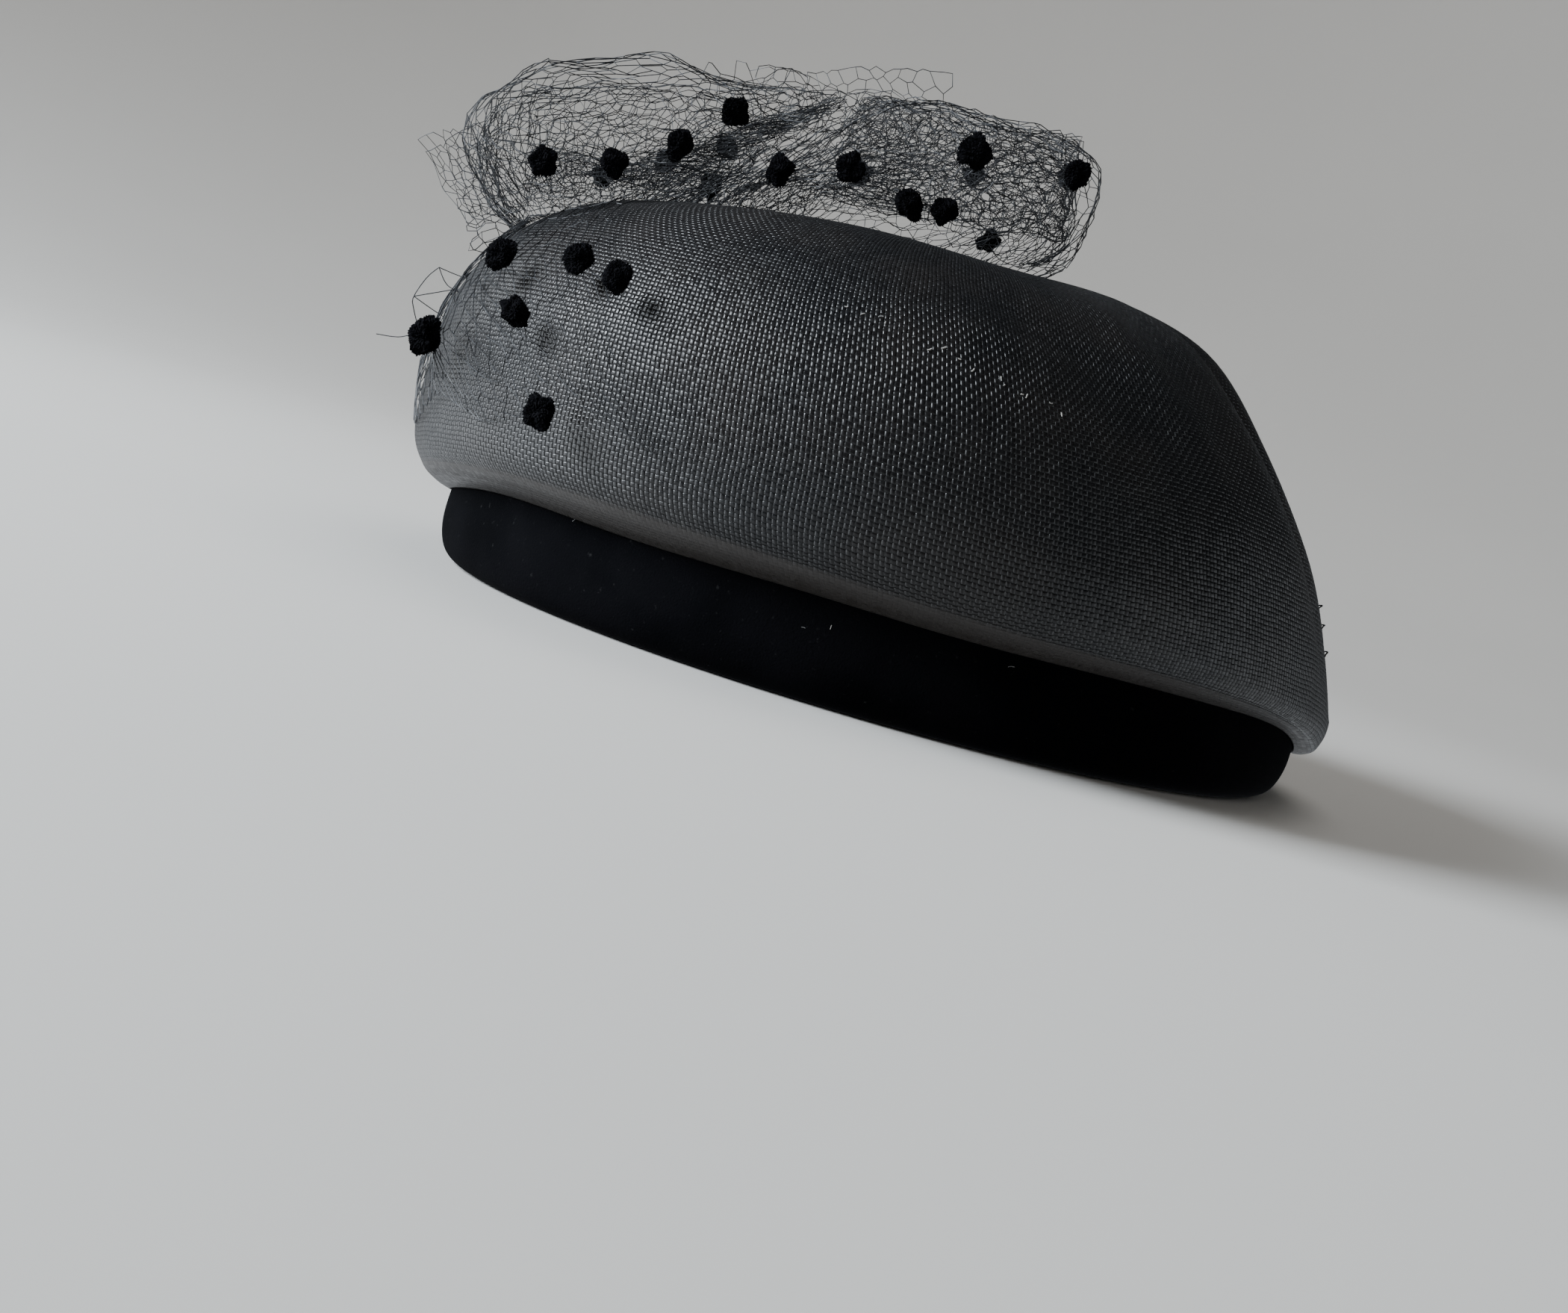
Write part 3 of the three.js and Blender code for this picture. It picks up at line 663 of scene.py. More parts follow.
def plain_weave_group():
    """Straws crossing over and under: their height, the gaps between them and a tone for each."""
    group, w, source, result = new_group(
        "Plain Weave",
        [("Vector", "NodeSocketVector", None), ("Pitch", "NodeSocketFloat", 0.001)],
        [("Height", "NodeSocketFloat"), ("Gap", "NodeSocketFloat"), ("Tone", "NodeSocketFloat")],
    )
    split = w.node("ShaderNodeSeparateXYZ")
    w.link(source.outputs["Vector"], split.inputs[0])
    wander = w.math("MULTIPLY", w.math("SUBTRACT", w.noise(source.outputs["Vector"], 90.0, 1.0), 0.5), 0.9)
    u = w.math("ADD", w.math("DIVIDE", split.outputs[0], source.outputs["Pitch"]), wander)
    v = w.math("SUBTRACT", w.math("DIVIDE", split.outputs[1], source.outputs["Pitch"]), wander)
    cell_u, cell_v = w.math("FLOOR", u), w.math("FLOOR", v)
    off_u = w.math("SUBTRACT", w.math("FRACT", u), 0.5)
    off_v = w.math("SUBTRACT", w.math("FRACT", v), 0.5)
    over = w.math("FLOORED_MODULO", w.math("ADD", cell_u, cell_v), 2.0)
    across_u, across_v = w.blend(over, 0.66, 0.45), w.blend(over, 0.45, 0.66)
    dip_u = w.math("POWER", w.math("ABSOLUTE", w.math("DIVIDE", off_u, across_u)), 3.0)
    dip_v = w.math("POWER", w.math("ABSOLUTE", w.math("DIVIDE", off_v, across_v)), 3.0)
    dome = w.math("SUBTRACT", 1.0, w.math("ADD", dip_u, dip_v))
    place = w.node("ShaderNodeCombineXYZ")
    w.link(cell_u, place.inputs[0])
    w.link(cell_v, place.inputs[1])
    speck = w.node("ShaderNodeTexWhiteNoise", noise_dimensions="2D")
    w.link(place.outputs[0], speck.inputs["Vector"])
    straw = w.node("ShaderNodeTexWhiteNoise", noise_dimensions="1D")
    w.link(w.blend(over, w.math("ADD", cell_v, 500.5), cell_u), straw.inputs["W"])
    tone = w.blend(0.5, speck.outputs["Value"], straw.outputs["Value"])
    uneven = w.blend(tone, 0.75, 1.1)
    turns = w.node("ShaderNodeSeparateXYZ")
    w.link(speck.outputs["Color"], turns.inputs[0])
    tip_u = w.math("MULTIPLY", w.math("SUBTRACT", turns.outputs[0], 0.5), off_u)
    tip_v = w.math("MULTIPLY", w.math("SUBTRACT", turns.outputs[1], 0.5), off_v)
    straws = w.math("MULTIPLY", w.math("MAXIMUM", dome, -0.35), uneven)
    w.link(w.math("ADD", straws, w.math("ADD", tip_u, tip_v)), result.inputs["Height"])
    w.link(w.ramp(w.math("MULTIPLY", dome, -1.0), -0.1, 0.35), result.inputs["Gap"])
    w.link(tone, result.inputs["Tone"])
    return group


def dust_group():
    """Fine pale dust: a sparse mask over a surface."""
    group, w, source, result = new_group(
        "Fine Dust",
        [("Vector", "NodeSocketVector", None), ("Scale", "NodeSocketFloat", 900.0)],
        [("Dust", "NodeSocketFloat"), ("Cloud", "NodeSocketFloat")],
    )
    fine = w.node("ShaderNodeTexNoise")
    w.link(source.outputs["Vector"], fine.inputs["Vector"])
    w.link(source.outputs["Scale"], fine.inputs["Scale"])
    fine.inputs["Detail"].default_value = 3.0
    cloud = w.noise(source.outputs["Vector"], 38.0, 3.0)
    w.link(w.ramp(fine.outputs["Fac"], 0.66, 0.8), result.inputs["Dust"])
    w.link(cloud, result.inputs["Cloud"])
    return group


def new_material(name, group=None):
    """A node material with its Principled shader, and a group placed in it."""
    material = bpy.data.materials.new(name)
    material.use_nodes = True
    weaver = Weaver(material.node_tree)
    shader = material.node_tree.nodes["Principled BSDF"]
    placed = None
    if group:
        placed = weaver.node("ShaderNodeGroup")
        placed.node_tree = group
    return material, weaver, shader, placed


def bump(weaver, shader, height, strength, distance):
    """Feeds a height to a shader's normal."""
    made = weaver.node("ShaderNodeBump")
    made.inputs["Strength"].default_value = strength
    made.inputs["Distance"].default_value = distance
    weaver.link(height, made.inputs["Height"])
    weaver.link(made.outputs["Normal"], shader.inputs["Normal"])


def shared_group(name, maker):
    """A node group that is made once."""
    return bpy.data.node_groups.get(name) or maker()


def straw_material(sizes, colours):
    """Glossy black straw in a plain weave, smoother, browner and lighter where it is turned under, that
    lightness partly painted bounce light from below; painted shade darkens the gaps between straws and the
    crack of the tuck.
    """
    material, w, shader, weave = new_material("glossy straw", shared_group("Plain Weave", plain_weave_group))
    cloth = w.node("ShaderNodeUVMap", uv_map="cloth")
    w.link(cloth.outputs["UV"], weave.inputs["Vector"])
    weave.inputs["Pitch"].default_value = sizes.straw_pitch
    strip = w.node("ShaderNodeAttribute", attribute_name="turned_under").outputs["Fac"]
    tuck = w.node("ShaderNodeAttribute", attribute_name="tuck").outputs["Fac"]
    place = w.node("ShaderNodeTexCoord").outputs["Object"]
    dust = w.node("ShaderNodeGroup")
    dust.node_tree = shared_group("Fine Dust", dust_group)
    w.link(place, dust.inputs["Vector"])
    plain = w.math("SUBTRACT", 1.0, w.math("MULTIPLY", strip, 0.85))
    # Where painted shade goes: the weave's gaps, fewer on the turned-under strip, and the crack of the tuck.
    gap_and_crack_shade = w.math("MAXIMUM", w.math("MULTIPLY", weave.outputs["Gap"], plain), tuck)
    fade = w.math("MULTIPLY", w.ramp(dust.outputs["Cloud"], 0.35, 0.7), 0.5)
    colour = w.mix(fade, tuple(colours.straw), tuple(colours.straw_brown))
    # Partly painted bounce light: the turned-under strip takes the lighter turned-edge colour.
    colour = w.mix(strip, colour, tuple(colours.turned_edge_and_bounce))
    # Painted shade: the gaps between straws and the crack of the tuck turn near black in the colour.
    colour = w.mix(gap_and_crack_shade, colour, (0.0015, 0.0015, 0.0015, 1.0))
    colour = w.mix(w.math("MULTIPLY", dust.outputs["Dust"], 0.06), colour, (0.3, 0.29, 0.27, 1.0))
    w.link(colour, shader.inputs["Base Color"])
    rough = w.blend(weave.outputs["Tone"], 0.2, 0.44)
    rough = w.math("ADD", rough, w.math("MULTIPLY", strip, 0.16))
    w.link(w.math("ADD", rough, w.math("MULTIPLY", gap_and_crack_shade, 0.5), clamp=True), shader.inputs["Roughness"])
    shader.inputs["Specular IOR Level"].default_value = 0.32
    bump(w, shader, w.math("MULTIPLY", weave.outputs["Height"], plain), 1.0, 0.00018)
    return material


def worn_material():
    """Pale, worn straw fibre."""
    material, w, shader, _ = new_material("worn straw")
    place = w.node("ShaderNodeTexCoord").outputs["Object"]
    tone = w.ramp(w.noise(place, 400.0, 1.0), 0.35, 0.65)
    w.link(w.mix(tone, (0.32, 0.31, 0.29, 1.0), (0.12, 0.12, 0.12, 1.0)), shader.inputs["Base Color"])
    shader.inputs["Roughness"].default_value = 0.8
    return material


def velvet_material(colours):
    """Black velvet: a short pile with crushed patches."""
    material, w, shader, dust = new_material("black velvet", shared_group("Fine Dust", dust_group))
    place = w.node("ShaderNodeTexCoord").outputs["Object"]
    w.link(place, dust.inputs["Vector"])
    crushed = w.math("MULTIPLY", w.ramp(dust.outputs["Cloud"], 0.4, 0.7), 0.7)
    colour = w.mix(crushed, tuple(colours.velvet), (0.003, 0.003, 0.0038, 1.0))
    colour = w.mix(w.math("MULTIPLY", dust.outputs["Dust"], 0.05), colour, (0.2, 0.2, 0.2, 1.0))
    w.link(colour, shader.inputs["Base Color"])
    shader.inputs["Roughness"].default_value = 0.95
    shader.inputs["Specular IOR Level"].default_value = 0.02
    bump(w, shader, w.noise(place, 2600.0, 2.0), 0.5, 0.0003)
    return material


def net_material(colours):
    """Fine black net thread."""
    material, w, shader, _ = new_material("veil thread")
    place = w.node("ShaderNodeTexCoord").outputs["Object"]
    tone = w.ramp(w.noise(place, 240.0, 2.0), 0.35, 0.65)
    w.link(w.mix(tone, tuple(colours.net), (0.022, 0.0235, 0.027, 1.0)), shader.inputs["Base Color"])
    shader.inputs["Roughness"].default_value = 0.55
    shader.inputs["Specular IOR Level"].default_value = 0.28
    return material


def chenille_material(colours):
    """Matt black chenille pile."""
    material, w, shader, dust = new_material("chenille pile", shared_group("Fine Dust", dust_group))
    place = w.node("ShaderNodeTexCoord").outputs["Object"]
    w.link(place, dust.inputs["Vector"])
    dust.inputs["Scale"].default_value = 1800.0
    shade = w.ramp(w.noise(place, 900.0, 3.0), 0.3, 0.7)
    colour = w.mix(shade, tuple(colours.chenille), (0.005, 0.005, 0.006, 1.0))
    colour = w.mix(w.math("MULTIPLY", dust.outputs["Dust"], 0.04), colour, (0.15, 0.15, 0.15, 1.0))
    w.link(colour, shader.inputs["Base Color"])
    shader.inputs["Roughness"].default_value = 1.0
    shader.inputs["Specular IOR Level"].default_value = 0.02
    bump(w, shader, w.noise(place, 3000.0, 2.0), 0.8, 0.0003)
    return material


def shared_material(name, maker, *values):
    """A material that is made once."""
    return bpy.data.materials.get(name) or maker(*values)


# Pieces.


class HAT_OT_crown(bpy.types.Operator):
    """Blocks the woven crown over its form, with its folds, hollows and back tuck"""

    bl_idname = "hat.crown"
    bl_label = "Crown"

    ACROSS, ALONG = 300, 84
    GIRTH_LEVEL, CUT = 0.5, 0.3
    STRIP_TOP, STRIP_DROP, STRIP_BLEND = 0.225, 0.1, 0.02
    TUCK_TURN, TUCK_SPREAD, TUCK_CLOSER = 151, 14, 2.5
    WAVE_SIZE, WAVE_DEPTH = 46, 0.35

    def execute(self, context):
        sizes, colours = context.scene.hat_sizes, context.scene.hat_colours
        piece, columns, rows = grid_piece("crown_cloth", self.ACROSS, self.ALONG)
        level = rows / self.ALONG
        turn = self.closer_at_tuck(columns / self.ACROSS)
        points = crown_face(level, turn)
        middle = section_point(CROWN_ROWS, np.ones(1), np.zeros(1), 2.0)
        points[rows == self.ALONG] = middle
        wave = waves(points, self.WAVE_SIZE, SEED) * self.WAVE_DEPTH
        points += normals_of(smooth_crown, level, turn) * wave[:, None]
        points[rows == self.ALONG] = middle
        set_points(piece, settled(points))
        self.lay_cloth(piece, columns, rows, points, sizes.straw_pitch)
        self.mark(piece, level, turn)
        weld(piece)
        apply_modifier(piece, "SOLIDIFY", thickness=sizes.crown_wall, offset=-1.0)
        pick(piece)
        bpy.ops.object.shade_smooth()
        material = shared_material("glossy straw", straw_material, sizes, colours)
        finish_piece(piece, material, "raffia", "crown")
        return {"FINISHED"}

    def closer_at_tuck(self, share):
        """Turns round the hat, drawn closer together about the back tuck."""
        degrees = np.linspace(0, 360, 1441)
        near = np.exp(-(((degrees - self.TUCK_TURN) / self.TUCK_SPREAD) ** 2))
        density = 1 + self.TUCK_CLOSER * near
        run = np.concatenate([[0], np.cumsum((density[1:] + density[:-1]) / 2)])
        return np.radians(np.interp(share, run / run[-1], degrees))

    def lay_cloth(self, piece, columns, rows, points, pitch):
        """Maps straws that run round the crown and up it, an even number of them round."""
        table = np.empty((self.ALONG + 1, self.ACROSS + 1, 3))
        table[rows, columns] = points * MM
        girth = table[round(self.ALONG * self.GIRTH_LEVEL)]
        around = np.concatenate([[0], np.cumsum(np.linalg.norm(np.diff(girth, axis=0), axis=1))])
        around *= 2 * round(around[-1] / pitch / 2) * pitch / around[-1]
        up = np.cumsum(np.linalg.norm(np.diff(table, axis=0), axis=2), axis=0)
        up = np.concatenate([np.zeros((1, self.ACROSS + 1)), up])
        cloth = np.stack([around[columns], up[rows, columns]], axis=1)
        corners = np.empty(len(piece.data.loops), int)
        piece.data.loops.foreach_get("vertex_index", corners)
        layer = piece.data.uv_layers.active or piece.data.uv_layers.new()
        layer.name = "cloth"
        layer.data.foreach_set("uv", cloth[corners].ravel())

    def mark(self, piece, level, turn):
        """Marks the strip turned under, which is narrower at the back and whose colour is lighter partly as
        painted bounce light, and the crack of the tuck, which is darkened as painted shade.
        """
        behind = (1 - np.cos(turn)) / 2
        top = self.STRIP_TOP - self.STRIP_DROP * behind**2
        strip = piece.data.attributes.new("turned_under", "FLOAT", "POINT")
        strip.data.foreach_set("value", np.clip((top - level) / self.STRIP_BLEND, 0, 1))
        crack = [fold for fold in CROWN_FOLDS if fold.name == "tuck crack"]
        tuck = piece.data.attributes.new("tuck", "FLOAT", "POINT")
        tuck.data.foreach_set("value", np.clip(fold_depth(level, turn, crack) / crack[0].depth, 0, 1))


class HAT_OT_band(bpy.types.Operator):
    """Rolls the velvet band round the head opening"""

    bl_idname = "hat.band"
    bl_label = "Velvet Band"

    ACROSS = 220
    CUT = (0.026, 0.565)
    FACE_FIRST, FACE_LAST = 3, 7
    SAG_SIZE, SAG_DEPTH, SAG_DROP, SAG_SWELL = 60, 0.35, 0.4, 0.004

    def execute(self, context):
        colours = context.scene.hat_colours
        profile = np.array([[row.up, row.inset] for row in BAND_ROWS], float)
        piece, columns, rows = grid_piece("velvet_band", self.ACROSS, len(profile))
        turn = 2 * np.pi * columns / self.ACROSS
        up, inset = profile[rows % len(profile)].T
        points = band_point(up, inset, turn)
        outer = (rows >= self.FACE_FIRST) & (rows <= self.FACE_LAST)
        sag = waves(points, self.SAG_SIZE, SEED + 1) * self.SAG_DEPTH
        points[outer, 2] += sag[outer] * self.SAG_DROP
        points[outer, :2] *= (1 + sag[outer] * self.SAG_SWELL)[:, None]
        set_points(piece, settled(points))
        weld(piece)
        apply_modifier(piece, "SUBSURF", levels=2, render_levels=2)
        pick(piece)
        bpy.ops.object.shade_smooth()
        material = shared_material("black velvet", velvet_material, colours)
        finish_piece(piece, material, "velvet", "band")
        return {"FINISHED"}


class HAT_OT_veil_puffs(bpy.types.Operator):
    """Stands the net up in two puffs on the crown"""

    bl_idname = "hat.veil_puffs"
    bl_label = "Veil Puffs"

    SPAN, GIRTH, SKIRT, UNEVEN = 0.104, 0.24, 0.026, 0.2
    LOOSENESS, DRAWN_IN = np.array([2.0, 1.0, 0.75]), np.array([0.8, 0.88, 0.95])
    PULL_REACH, PULL_SHARE = 0.013, 0.6

    def execute(self, context):
        sizes, colours = context.scene.hat_sizes, context.scene.hat_colours
        material = shared_material("veil thread", net_material, colours)
        self.puff("front_puff", FRONT_PUFF, range(1, 9), sizes, material, 11)
        self.puff("back_puff", BACK_PUFF, range(9, 19), sizes, material, 23)
        return {"FINISHED"}

    def puff(self, puff, rows, dots, sizes, material, seed):
        """One puff: its outer net and a crumpled skirt at its foot."""
        face = puff_face(rows)
        middles = dot_middles(dots)
        core = puff_middle(puff)

        def outer(a, b):
            points = face(a, b)
            points = settled(points + ripple(points, seed, 1.9, 1.7) * self.LOOSENESS)
            return pull_to_dots(pull_to_dots(points, middles, self.PULL_REACH, self.PULL_SHARE), middles)

        def skirt(a, b):
            points = section_point(rows, 0.02 + 0.38 * b, 2 * np.pi * a, 2.0, even=True)
            points = settled(points + ripple(points, seed + 15, 3.4, 2.8))
            return core + (points - core) * self.DRAWN_IN

        layers = [
            self.layer(puff, self.SPAN, self.SPAN, outer, sizes, seed),
            self.layer(puff + "_skirt", self.GIRTH, self.SKIRT, skirt, sizes, seed + 2),
        ]
        finish_piece(join(puff + "_net", layers), material, "veil_net", *puff_nodes(puff))

    def layer(self, name, wide, tall, place, sizes, seed):
        """A net over a place of so many metres."""
        across = round(wide / (sizes.net_cell / 2))
        along = round(tall / (sizes.net_cell * 0.866))
        return net_piece(name, across, along, place, sizes.net_strand, seed, self.UNEVEN)


class HAT_OT_veil_gathers(bpy.types.Operator):
    """Adds the veil's loose flaps and the folds where its net is drawn together"""

    bl_idname = "hat.veil_gathers"
    bl_label = "Veil Flaps And Gathers"

    UNEVEN, SWING_SIZE, SWING_GAIN = 0.22, 42, 2.5

    def execute(self, context):
        sizes, colours = context.scene.hat_sizes, context.scene.hat_colours
        made = []
        for flap in FLAPS:
            for leaf in range(flap.leaves):
                made.append(self.leaf(flap, leaf, sizes, SEED + 3 * len(made)))
        piece = join("veil_gather_net", made)
        finish_piece(piece, shared_material("veil thread", net_material, colours), "veil_net")
        return {"FINISHED"}

    def leaf(self, flap, leaf, sizes, seed):
        """A crumpled leaf of net that shows between four places and swings to the left and right."""
        places = (flap.foot_front, flap.foot_back, flap.top_front, flap.top_back)
        corners = [np.array([0.0, *place]) for place in places]

        def place(a, b):
            a, b = a[:, None], b[:, None]
            foot = corners[0] * (1 - a) + corners[1] * a
            top = corners[2] * (1 - a) + corners[3] * a
            shown = foot * (1 - b) + top * b
            swing = flap.swing * self.SWING_GAIN * waves(shown, self.SWING_SIZE, seed + 1)
            left = flap.left - LEAF_STEP * leaf + swing
            left = np.clip(left, -LEAF_REACH, LEAF_REACH)
            points = shown + (EYE - shown) * (left / EYE[0])[:, None]
            return settled(points + ripple(points, seed, 1.8, 1.7))

        return net_piece("leaf", flap.cells, flap.rows, place, sizes.net_strand, seed, self.UNEVEN, flap.cut)


class HAT_OT_veil_fall(bpy.types.Operator):
    """Drapes the net over the front of the crown"""

    bl_idname = "hat.veil_fall"
    bl_label = "Veil Fall"

    SPAN, DROP, SHEAR, UNEVEN = 0.200, 0.048, 22.0, 0.24
    FIRST_TURN, LAST_TURN = FALL_RIGHT + 4, FALL_LEFT - 6
    TUCKED_UP, HEM_WAVE, CREASE_SIZE = 0.05, 0.02, 15
    STAND, BILLOW, LEAST_STAND = 1.1, 1.4, 0.4
    PULL_REACH, PULL_SHARE = 0.011, 0.4

    def execute(self, context):
        sizes, colours = context.scene.hat_sizes, context.scene.hat_colours
        middles = dot_middles(range(19, 29))

        def drape(a, b):
            slide = self.SHEAR * (0.5 - b)
            turn = np.radians(self.FIRST_TURN + (self.LAST_TURN - self.FIRST_TURN) * a + slide)
            high = FALL_HIGH + FALL_END_RISE * (2 * a - 1) ** 2 + self.TUCKED_UP
            low = FALL_LOW + self.HEM_WAVE * np.sin(9 * a) + self.HEM_WAVE * np.sin(23 * a)
            level = low + (high - low) * b
            points = smooth_crown(level, turn)
            billow = self.BILLOW * np.sin(np.pi * b) * np.sin(3.5 * np.pi * a) ** 2
            stand = self.STAND + billow + creases(points, self.CREASE_SIZE, SEED + 40)
            stand = np.maximum(stand, self.LEAST_STAND)
            points = settled(points + normals_of(smooth_crown, level, turn) * stand[:, None])
            return pull_to_dots(pull_to_dots(points, middles, self.PULL_REACH, self.PULL_SHARE), middles)

        across = round(self.SPAN / (sizes.net_cell * 0.42))
        along = round(self.DROP / (sizes.net_cell * 1.1))
        piece = net_piece("fall", across, along, drape, sizes.net_strand, 31, self.UNEVEN, True)
        piece = join("veil_fall_net", [piece, thread_piece("strays", self.strays(), STRAY_RADIUS)])
        material = shared_material("veil thread", net_material, colours)
        finish_piece(piece, material, "veil_net", "veil_fall")
        return {"FINISHED"}

    def strays(self):
        """Strands of the fall's edge: some stand clear of the crown, and some lie on it."""
        crown = bpy.data.objects["crown_cloth"]
        made = []
        for stray in STRAYS:
            if stray.left is None:
                found = [seen_on(crown, place) for place in stray.places]
                line = np.array([point + normal * STRAY_STAND for point, normal in found])
            else:
                line = np.array([settled(seen_at(place, stray.left)) for place in stray.places])
            made.append(spline(line, np.linspace(0, 1, 12)))
        return made


class HAT_OT_dots(bpy.types.Operator):
    """Sews the chenille dots to the net"""

    bl_idname = "hat.dots"
    bl_label = "Chenille Dots"

    RADIUS, FLATNESS, CORNERS, LUMPS, PILE = 0.0026, 0.8, 0.09, 0.34, 0.6
    LARGEST, LARGEST_SCALE = 23, 1.4

    def execute(self, context):
        sizes, colours = context.scene.hat_sizes, context.scene.hat_colours
        material = shared_material("chenille pile", chenille_material, colours)
        front, back = puff_middle("front_puff"), puff_middle("back_puff")
        deselect_all()
        bpy.ops.mesh.primitive_ico_sphere_add(subdivisions=5, radius=1)
        master = bpy.context.object
        ball = points_of(master)
        # One of the fall's dots (19 to 28) is a dark shape put where the crown shows only another dot's cast
        # shadow: a painted shadow made as a dot.
        for number in range(1, 29):
            low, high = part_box(f"dot_{number:02d}")
            middle = np.array((low + high) / 2)
            out = middle - front if number <= 8 else middle - back
            if number > 18:
                out = middle * np.array([1.2, 1.0, 0.3])
            pick(master)
            bpy.ops.object.duplicate()
            dot = bpy.context.object
            dot.name = f"chenille_dot_{number:02d}"
            set_points(dot, middle + self.tuft(ball, out, sizes, number))
            finish_piece(dot, material, "chenille", f"dot_{number:02d}")
        bpy.data.objects.remove(master)
        return {"FINISHED"}

    def tuft(self, ball, out, sizes, number):
        """A flat tuft of pile with a few blunt corners, turned to face out."""
        rng = np.random.default_rng(SEED + number)
        bearing = np.arctan2(ball[:, 1], ball[:, 0])
        corners = np.cos(rng.integers(3, 6) * bearing + rng.uniform(0, 6)) * (1 - ball[:, 2] ** 2)
        lumps = self.LUMPS * waves(ball, 1.0, SEED + number)
        pile = rng.uniform(-self.PILE, self.PILE, len(ball)) * sizes.dot_fuzz / self.RADIUS
        stretch = np.array([1.0, 1.0, self.FLATNESS]) * rng.uniform(0.84, 1.14, 3)
        radius = self.RADIUS * (self.LARGEST_SCALE if number == self.LARGEST else 1)
        shape = ball * (1 + self.CORNERS * corners + lumps + pile)[:, None] * stretch * radius
        aim = Vector(out).to_track_quat("Z", "Y").to_matrix()
        spin = np.array(aim @ Matrix.Rotation(rng.uniform(0, 6.28), 3, "Z"))
        return shape @ spin.T


class HAT_OT_trim(bpy.types.Operator):
    """Adds the tuck's stitches and loose ends, worn flecks on the straw and lint on the velvet"""

    bl_idname = "hat.trim"
    bl_label = "Stitches And Wear"

    STITCHES, STITCH_RADIUS, STITCH_REACH = 13, 0.00016, 1.9
    LOOSE_ENDS = ((0.46, 164.0), (0.44, 165.0), (0.41, 166.0))
    FLECK_LENGTH, FLECK_RADIUS = 0.0008, 0.00013
    LINT_LENGTH, LINT_RADIUS = 0.0011, 0.00006

    def execute(self, context):
        colours = context.scene.hat_colours
        rng = np.random.default_rng(SEED)
        crown, band = bpy.data.objects["crown_cloth"], bpy.data.objects["velvet_band"]
        sewing = thread_piece("tuck_stitches", self.stitches(rng) + self.loose_ends(), self.STITCH_RADIUS)
        finish_piece(sewing, shared_material("veil thread", net_material, colours), "raffia")
        share = np.linspace(0, 1, WORN_FLECKS)[:, None] + rng.normal(size=(WORN_FLECKS, 1)) * 0.02
        worn = WORN_FROM + (WORN_TO - WORN_FROM) * share + rng.normal(size=(WORN_FLECKS, 2)) * 0.7
        flecks = [self.fleck(crown, place, rng, self.FLECK_LENGTH) for place in worn]
        flecks = thread_piece("worn_flecks", flecks, self.FLECK_RADIUS)
        finish_piece(flecks, shared_material("worn straw", worn_material), "raffia")
        lint = [self.fleck(band, place, rng, self.LINT_LENGTH) for place in LINT]
        lint = thread_piece("velvet_lint", lint, self.LINT_RADIUS)
        finish_piece(lint, shared_material("worn straw", worn_material), "velvet")
        return {"FINISHED"}

    def stitches(self, rng):
        """Short threads across the crack of the tuck."""
        crack = next(fold for fold in CROWN_FOLDS if fold.name == "tuck crack")
        made = []
        for share in np.linspace(0.12, 0.88, self.STITCHES) + rng.normal(size=self.STITCHES) * 0.012:
            level = crack.low + (crack.high - crack.low) * share + np.linspace(0, 0.012, 6)
            across = np.linspace(-self.STITCH_REACH, self.STITCH_REACH, 6)
            turn = crack.low_turn + (crack.high_turn - crack.low_turn) * share + across
            line = crown_face(level, np.radians(turn))
            made.append(settled(line + normals_of(smooth_crown, level, np.radians(turn)) * 0.1))
        return made

    def loose_ends(self):
        """Thread ends that curl out below the tuck."""
        made = []
        for level, turn in self.LOOSE_ENDS:
            at = np.array([level]), np.radians(np.array([turn]))
            root, out = crown_face(*at)[0], normals_of(smooth_crown, *at)[0]
            run = np.linspace(0, 1, 9)[:, None]
            curl = np.concatenate([np.sin(run * 5 + turn), np.cos(run * 4), -run * 2.4], axis=1)
            made.append(settled(root + out * np.sin(run * 2.4) * 0.9 + curl * run * 0.5))
        return made

    def fleck(self, piece, place, rng, length):
        """A short fibre lying on a piece."""
        point, normal = seen_on(piece, place)
        way = np.cross(normal, rng.normal(size=3))
        way *= rng.uniform(0.4, 1.0) * length / np.linalg.norm(way)
        bend = np.cross(normal, way) * rng.uniform(-0.4, 0.4)
        return [point + normal * 0.00005 + way * t + bend * t * t for t in (-0.6, -0.2, 0.2, 0.6)]


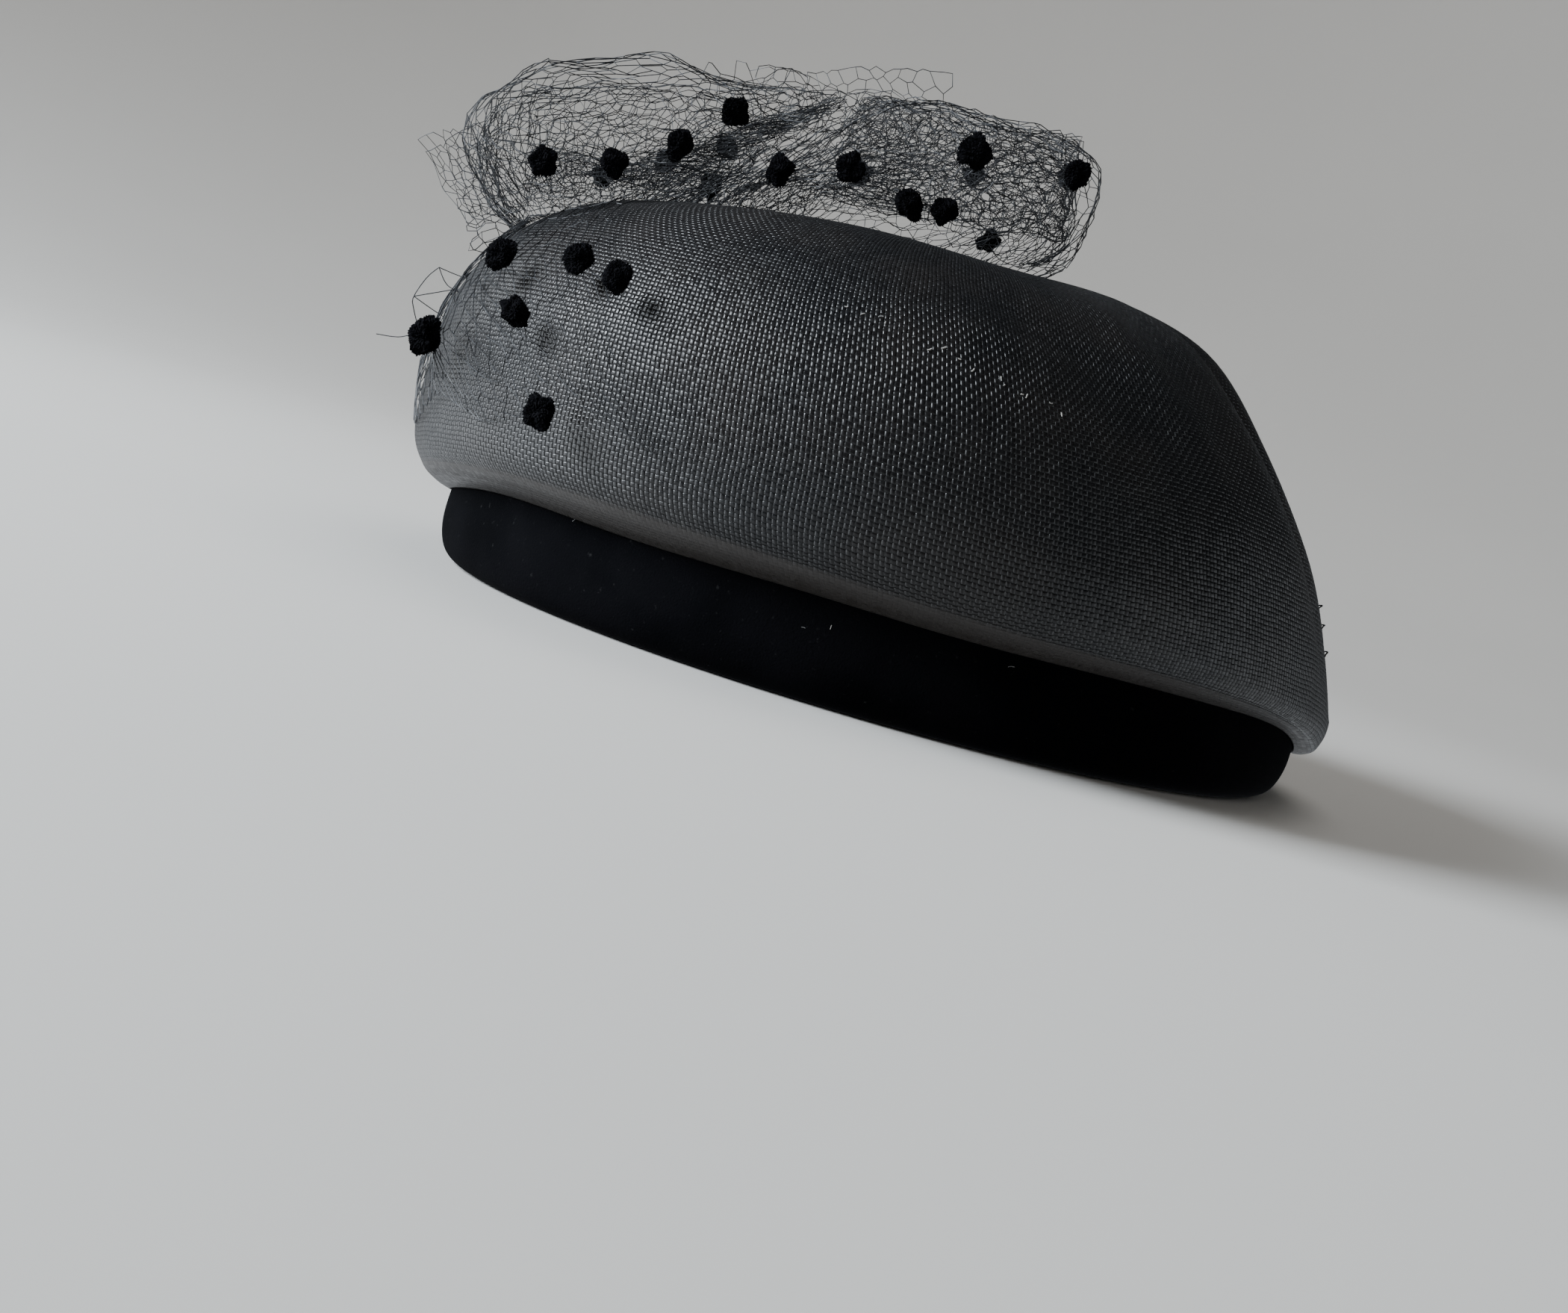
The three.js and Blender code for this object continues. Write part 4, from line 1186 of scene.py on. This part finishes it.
class HAT_OT_stage(bpy.types.Operator):
    """Lays the pale floor, and sets the soft light and the viewing point"""

    bl_idname = "hat.stage"
    bl_label = "Stage"

    FLAT, SWEEP, RINGS = 0.5, 1.35, 20
    FRONT_GLOW, BACK_GLOW, FAR_GLOW, DIM_GLOW = 4.0, 1.1, 0.08, 0.045
    FLOOR_GLOW_BACK, FLOOR_GLOW_FRONT = 0.6, 1.3

    def execute(self, context):
        colours = context.scene.hat_colours
        self.floor(colours)
        for lamp in LAMPS:
            self.light(lamp)
        self.surround(context.scene)
        data = bpy.data.cameras.new("view")
        data.lens, data.sensor_width, data.sensor_fit = LENS, SENSOR, "HORIZONTAL"
        data.clip_start = 0.01
        camera = bpy.data.objects.new("view", data)
        context.scene.collection.objects.link(camera)
        camera.matrix_world = view_matrix()
        context.scene.camera = camera
        return {"FINISHED"}

    def surround(self, scene):
        """What the straw mirrors: a bright side to the front, a pale floor and a dim room."""
        scene.world = scene.world or bpy.data.worlds.new("studio")
        scene.world.use_nodes = True
        w = Weaver(scene.world.node_tree)
        way = w.node("ShaderNodeSeparateXYZ")
        w.link(w.node("ShaderNodeTexCoord").outputs["Generated"], way.inputs[0])
        x, y, z = way.outputs
        low = w.math("SUBTRACT", 1.0, w.ramp(z, 0.15, 0.5))
        forward, down, far = (w.math("MULTIPLY", part, -1.0) for part in (y, z, x))
        floor = w.blend(w.ramp(forward, -0.3, 0.4), self.FLOOR_GLOW_BACK, self.FLOOR_GLOW_FRONT)
        strength = w.math("ADD", w.math("MULTIPLY", w.ramp(down, 0.0, 0.5), floor), self.DIM_GLOW)
        sides = (
            (w.ramp(forward, 0.55, 0.97), self.FRONT_GLOW),
            (w.ramp(y, 0.65, 1.0), self.BACK_GLOW),
            (w.ramp(far, 0.3, 0.9), self.FAR_GLOW),
        )
        for side, glow in sides:
            strength = w.math("ADD", strength, w.math("MULTIPLY", w.math("MULTIPLY", side, low), glow))
        sky = scene.world.node_tree.nodes["Background"]
        sky.inputs["Color"].default_value = (0.90, 0.95, 1.0, 1.0)
        w.link(strength, sky.inputs["Strength"])

    def floor(self, colours):
        """A round floor that sweeps up to a wall far from the hat, so no edge of it shows."""
        deselect_all()
        bpy.ops.mesh.primitive_circle_add(vertices=128, radius=self.FLAT, fill_type="NGON")
        floor = bpy.context.object
        floor.name = "floor"
        lean = np.linspace(0, np.pi / 2, self.RINGS)
        reach = self.FLAT + self.SWEEP * np.sin(lean)
        rise = self.SWEEP * (1 - np.cos(lean))
        bpy.ops.object.mode_set(mode="EDIT")
        bpy.ops.mesh.select_mode(type="EDGE")
        bpy.ops.mesh.select_all(action="SELECT")
        bpy.ops.mesh.region_to_loop()
        for spread, step in zip(reach[1:] / reach[:-1], np.diff(rise)):
            bpy.ops.mesh.extrude_edges_move(TRANSFORM_OT_translate={"value": (0, 0, step)})
            bpy.ops.transform.resize(value=(spread, spread, 1))
        bpy.ops.object.mode_set(mode="OBJECT")
        bpy.ops.object.shade_smooth()
        material, w, shader, _ = new_material("pale floor")
        place = w.node("ShaderNodeTexCoord").outputs["Object"]
        cloud = w.ramp(w.noise(place, 3.0, 2.0), 0.3, 0.7)
        darker = tuple(c * 0.97 for c in colours.floor[:3]) + (1.0,)
        w.link(w.mix(cloud, tuple(colours.floor), darker), shader.inputs["Base Color"])
        shader.inputs["Roughness"].default_value = 0.9
        floor.data.materials.append(material)
        floor.visible_glossy = False

    def light(self, lamp):
        """A soft rectangular lamp turned towards its target."""
        data = bpy.data.lights.new(lamp.name, "AREA")
        data.shape, data.size, data.size_y = "RECTANGLE", lamp.wide, lamp.tall
        data.energy, data.color = lamp.power, lamp.colour
        data.spread = math.radians(lamp.spread)
        placed = bpy.data.objects.new(lamp.name, data)
        bpy.context.scene.collection.objects.link(placed)
        placed.location = lamp.place
        way = Vector(lamp.target) - Vector(lamp.place)
        placed.rotation_euler = way.to_track_quat("-Z", "Y").to_euler()
        placed.visible_camera = False
        placed.visible_glossy = lamp.mirrored


def view_matrix():
    """Place and turn of the viewing point."""
    eye, aim = Vector(settled(EYE)), Vector(settled(AIM))
    turn = (aim - eye).to_track_quat("-Z", "Y").to_matrix().to_4x4()
    return Matrix.Translation(eye) @ turn @ Matrix.Rotation(ROLL, 4, "Z")


STEPS = (
    HAT_OT_crown,
    HAT_OT_band,
    HAT_OT_veil_puffs,
    HAT_OT_veil_gathers,
    HAT_OT_veil_fall,
    HAT_OT_dots,
    HAT_OT_trim,
    HAT_OT_stage,
)


class HAT_PT_making(bpy.types.Panel):
    """Lists the steps that make the hat"""

    bl_idname = "HAT_PT_making"
    bl_label = "Raffia Hat"
    bl_space_type = "VIEW_3D"
    bl_region_type = "UI"
    bl_category = "Hat"

    def draw(self, context):
        column = self.layout.column()
        for group in (context.scene.hat_sizes, context.scene.hat_colours):
            for name in group.__annotations__:
                column.prop(group, name)
        for step in STEPS:
            column.operator(step.bl_idname)


CLASSES = (HatSizes, HatColours, *STEPS, HAT_PT_making)


def register():
    for made in CLASSES:
        bpy.utils.register_class(made)
    bpy.types.Scene.hat_sizes = bpy.props.PointerProperty(type=HatSizes)
    bpy.types.Scene.hat_colours = bpy.props.PointerProperty(type=HatColours)


def unregister():
    del bpy.types.Scene.hat_colours
    del bpy.types.Scene.hat_sizes
    for made in reversed(CLASSES):
        bpy.utils.unregister_class(made)


def main():
    register()
    bpy.ops.hat.crown()
    bpy.ops.hat.band()
    bpy.ops.hat.veil_puffs()
    bpy.ops.hat.veil_gathers()
    bpy.ops.hat.veil_fall()
    bpy.ops.hat.dots()
    bpy.ops.hat.trim()
    bpy.ops.hat.stage()


if __name__ == "__main__":
    main()
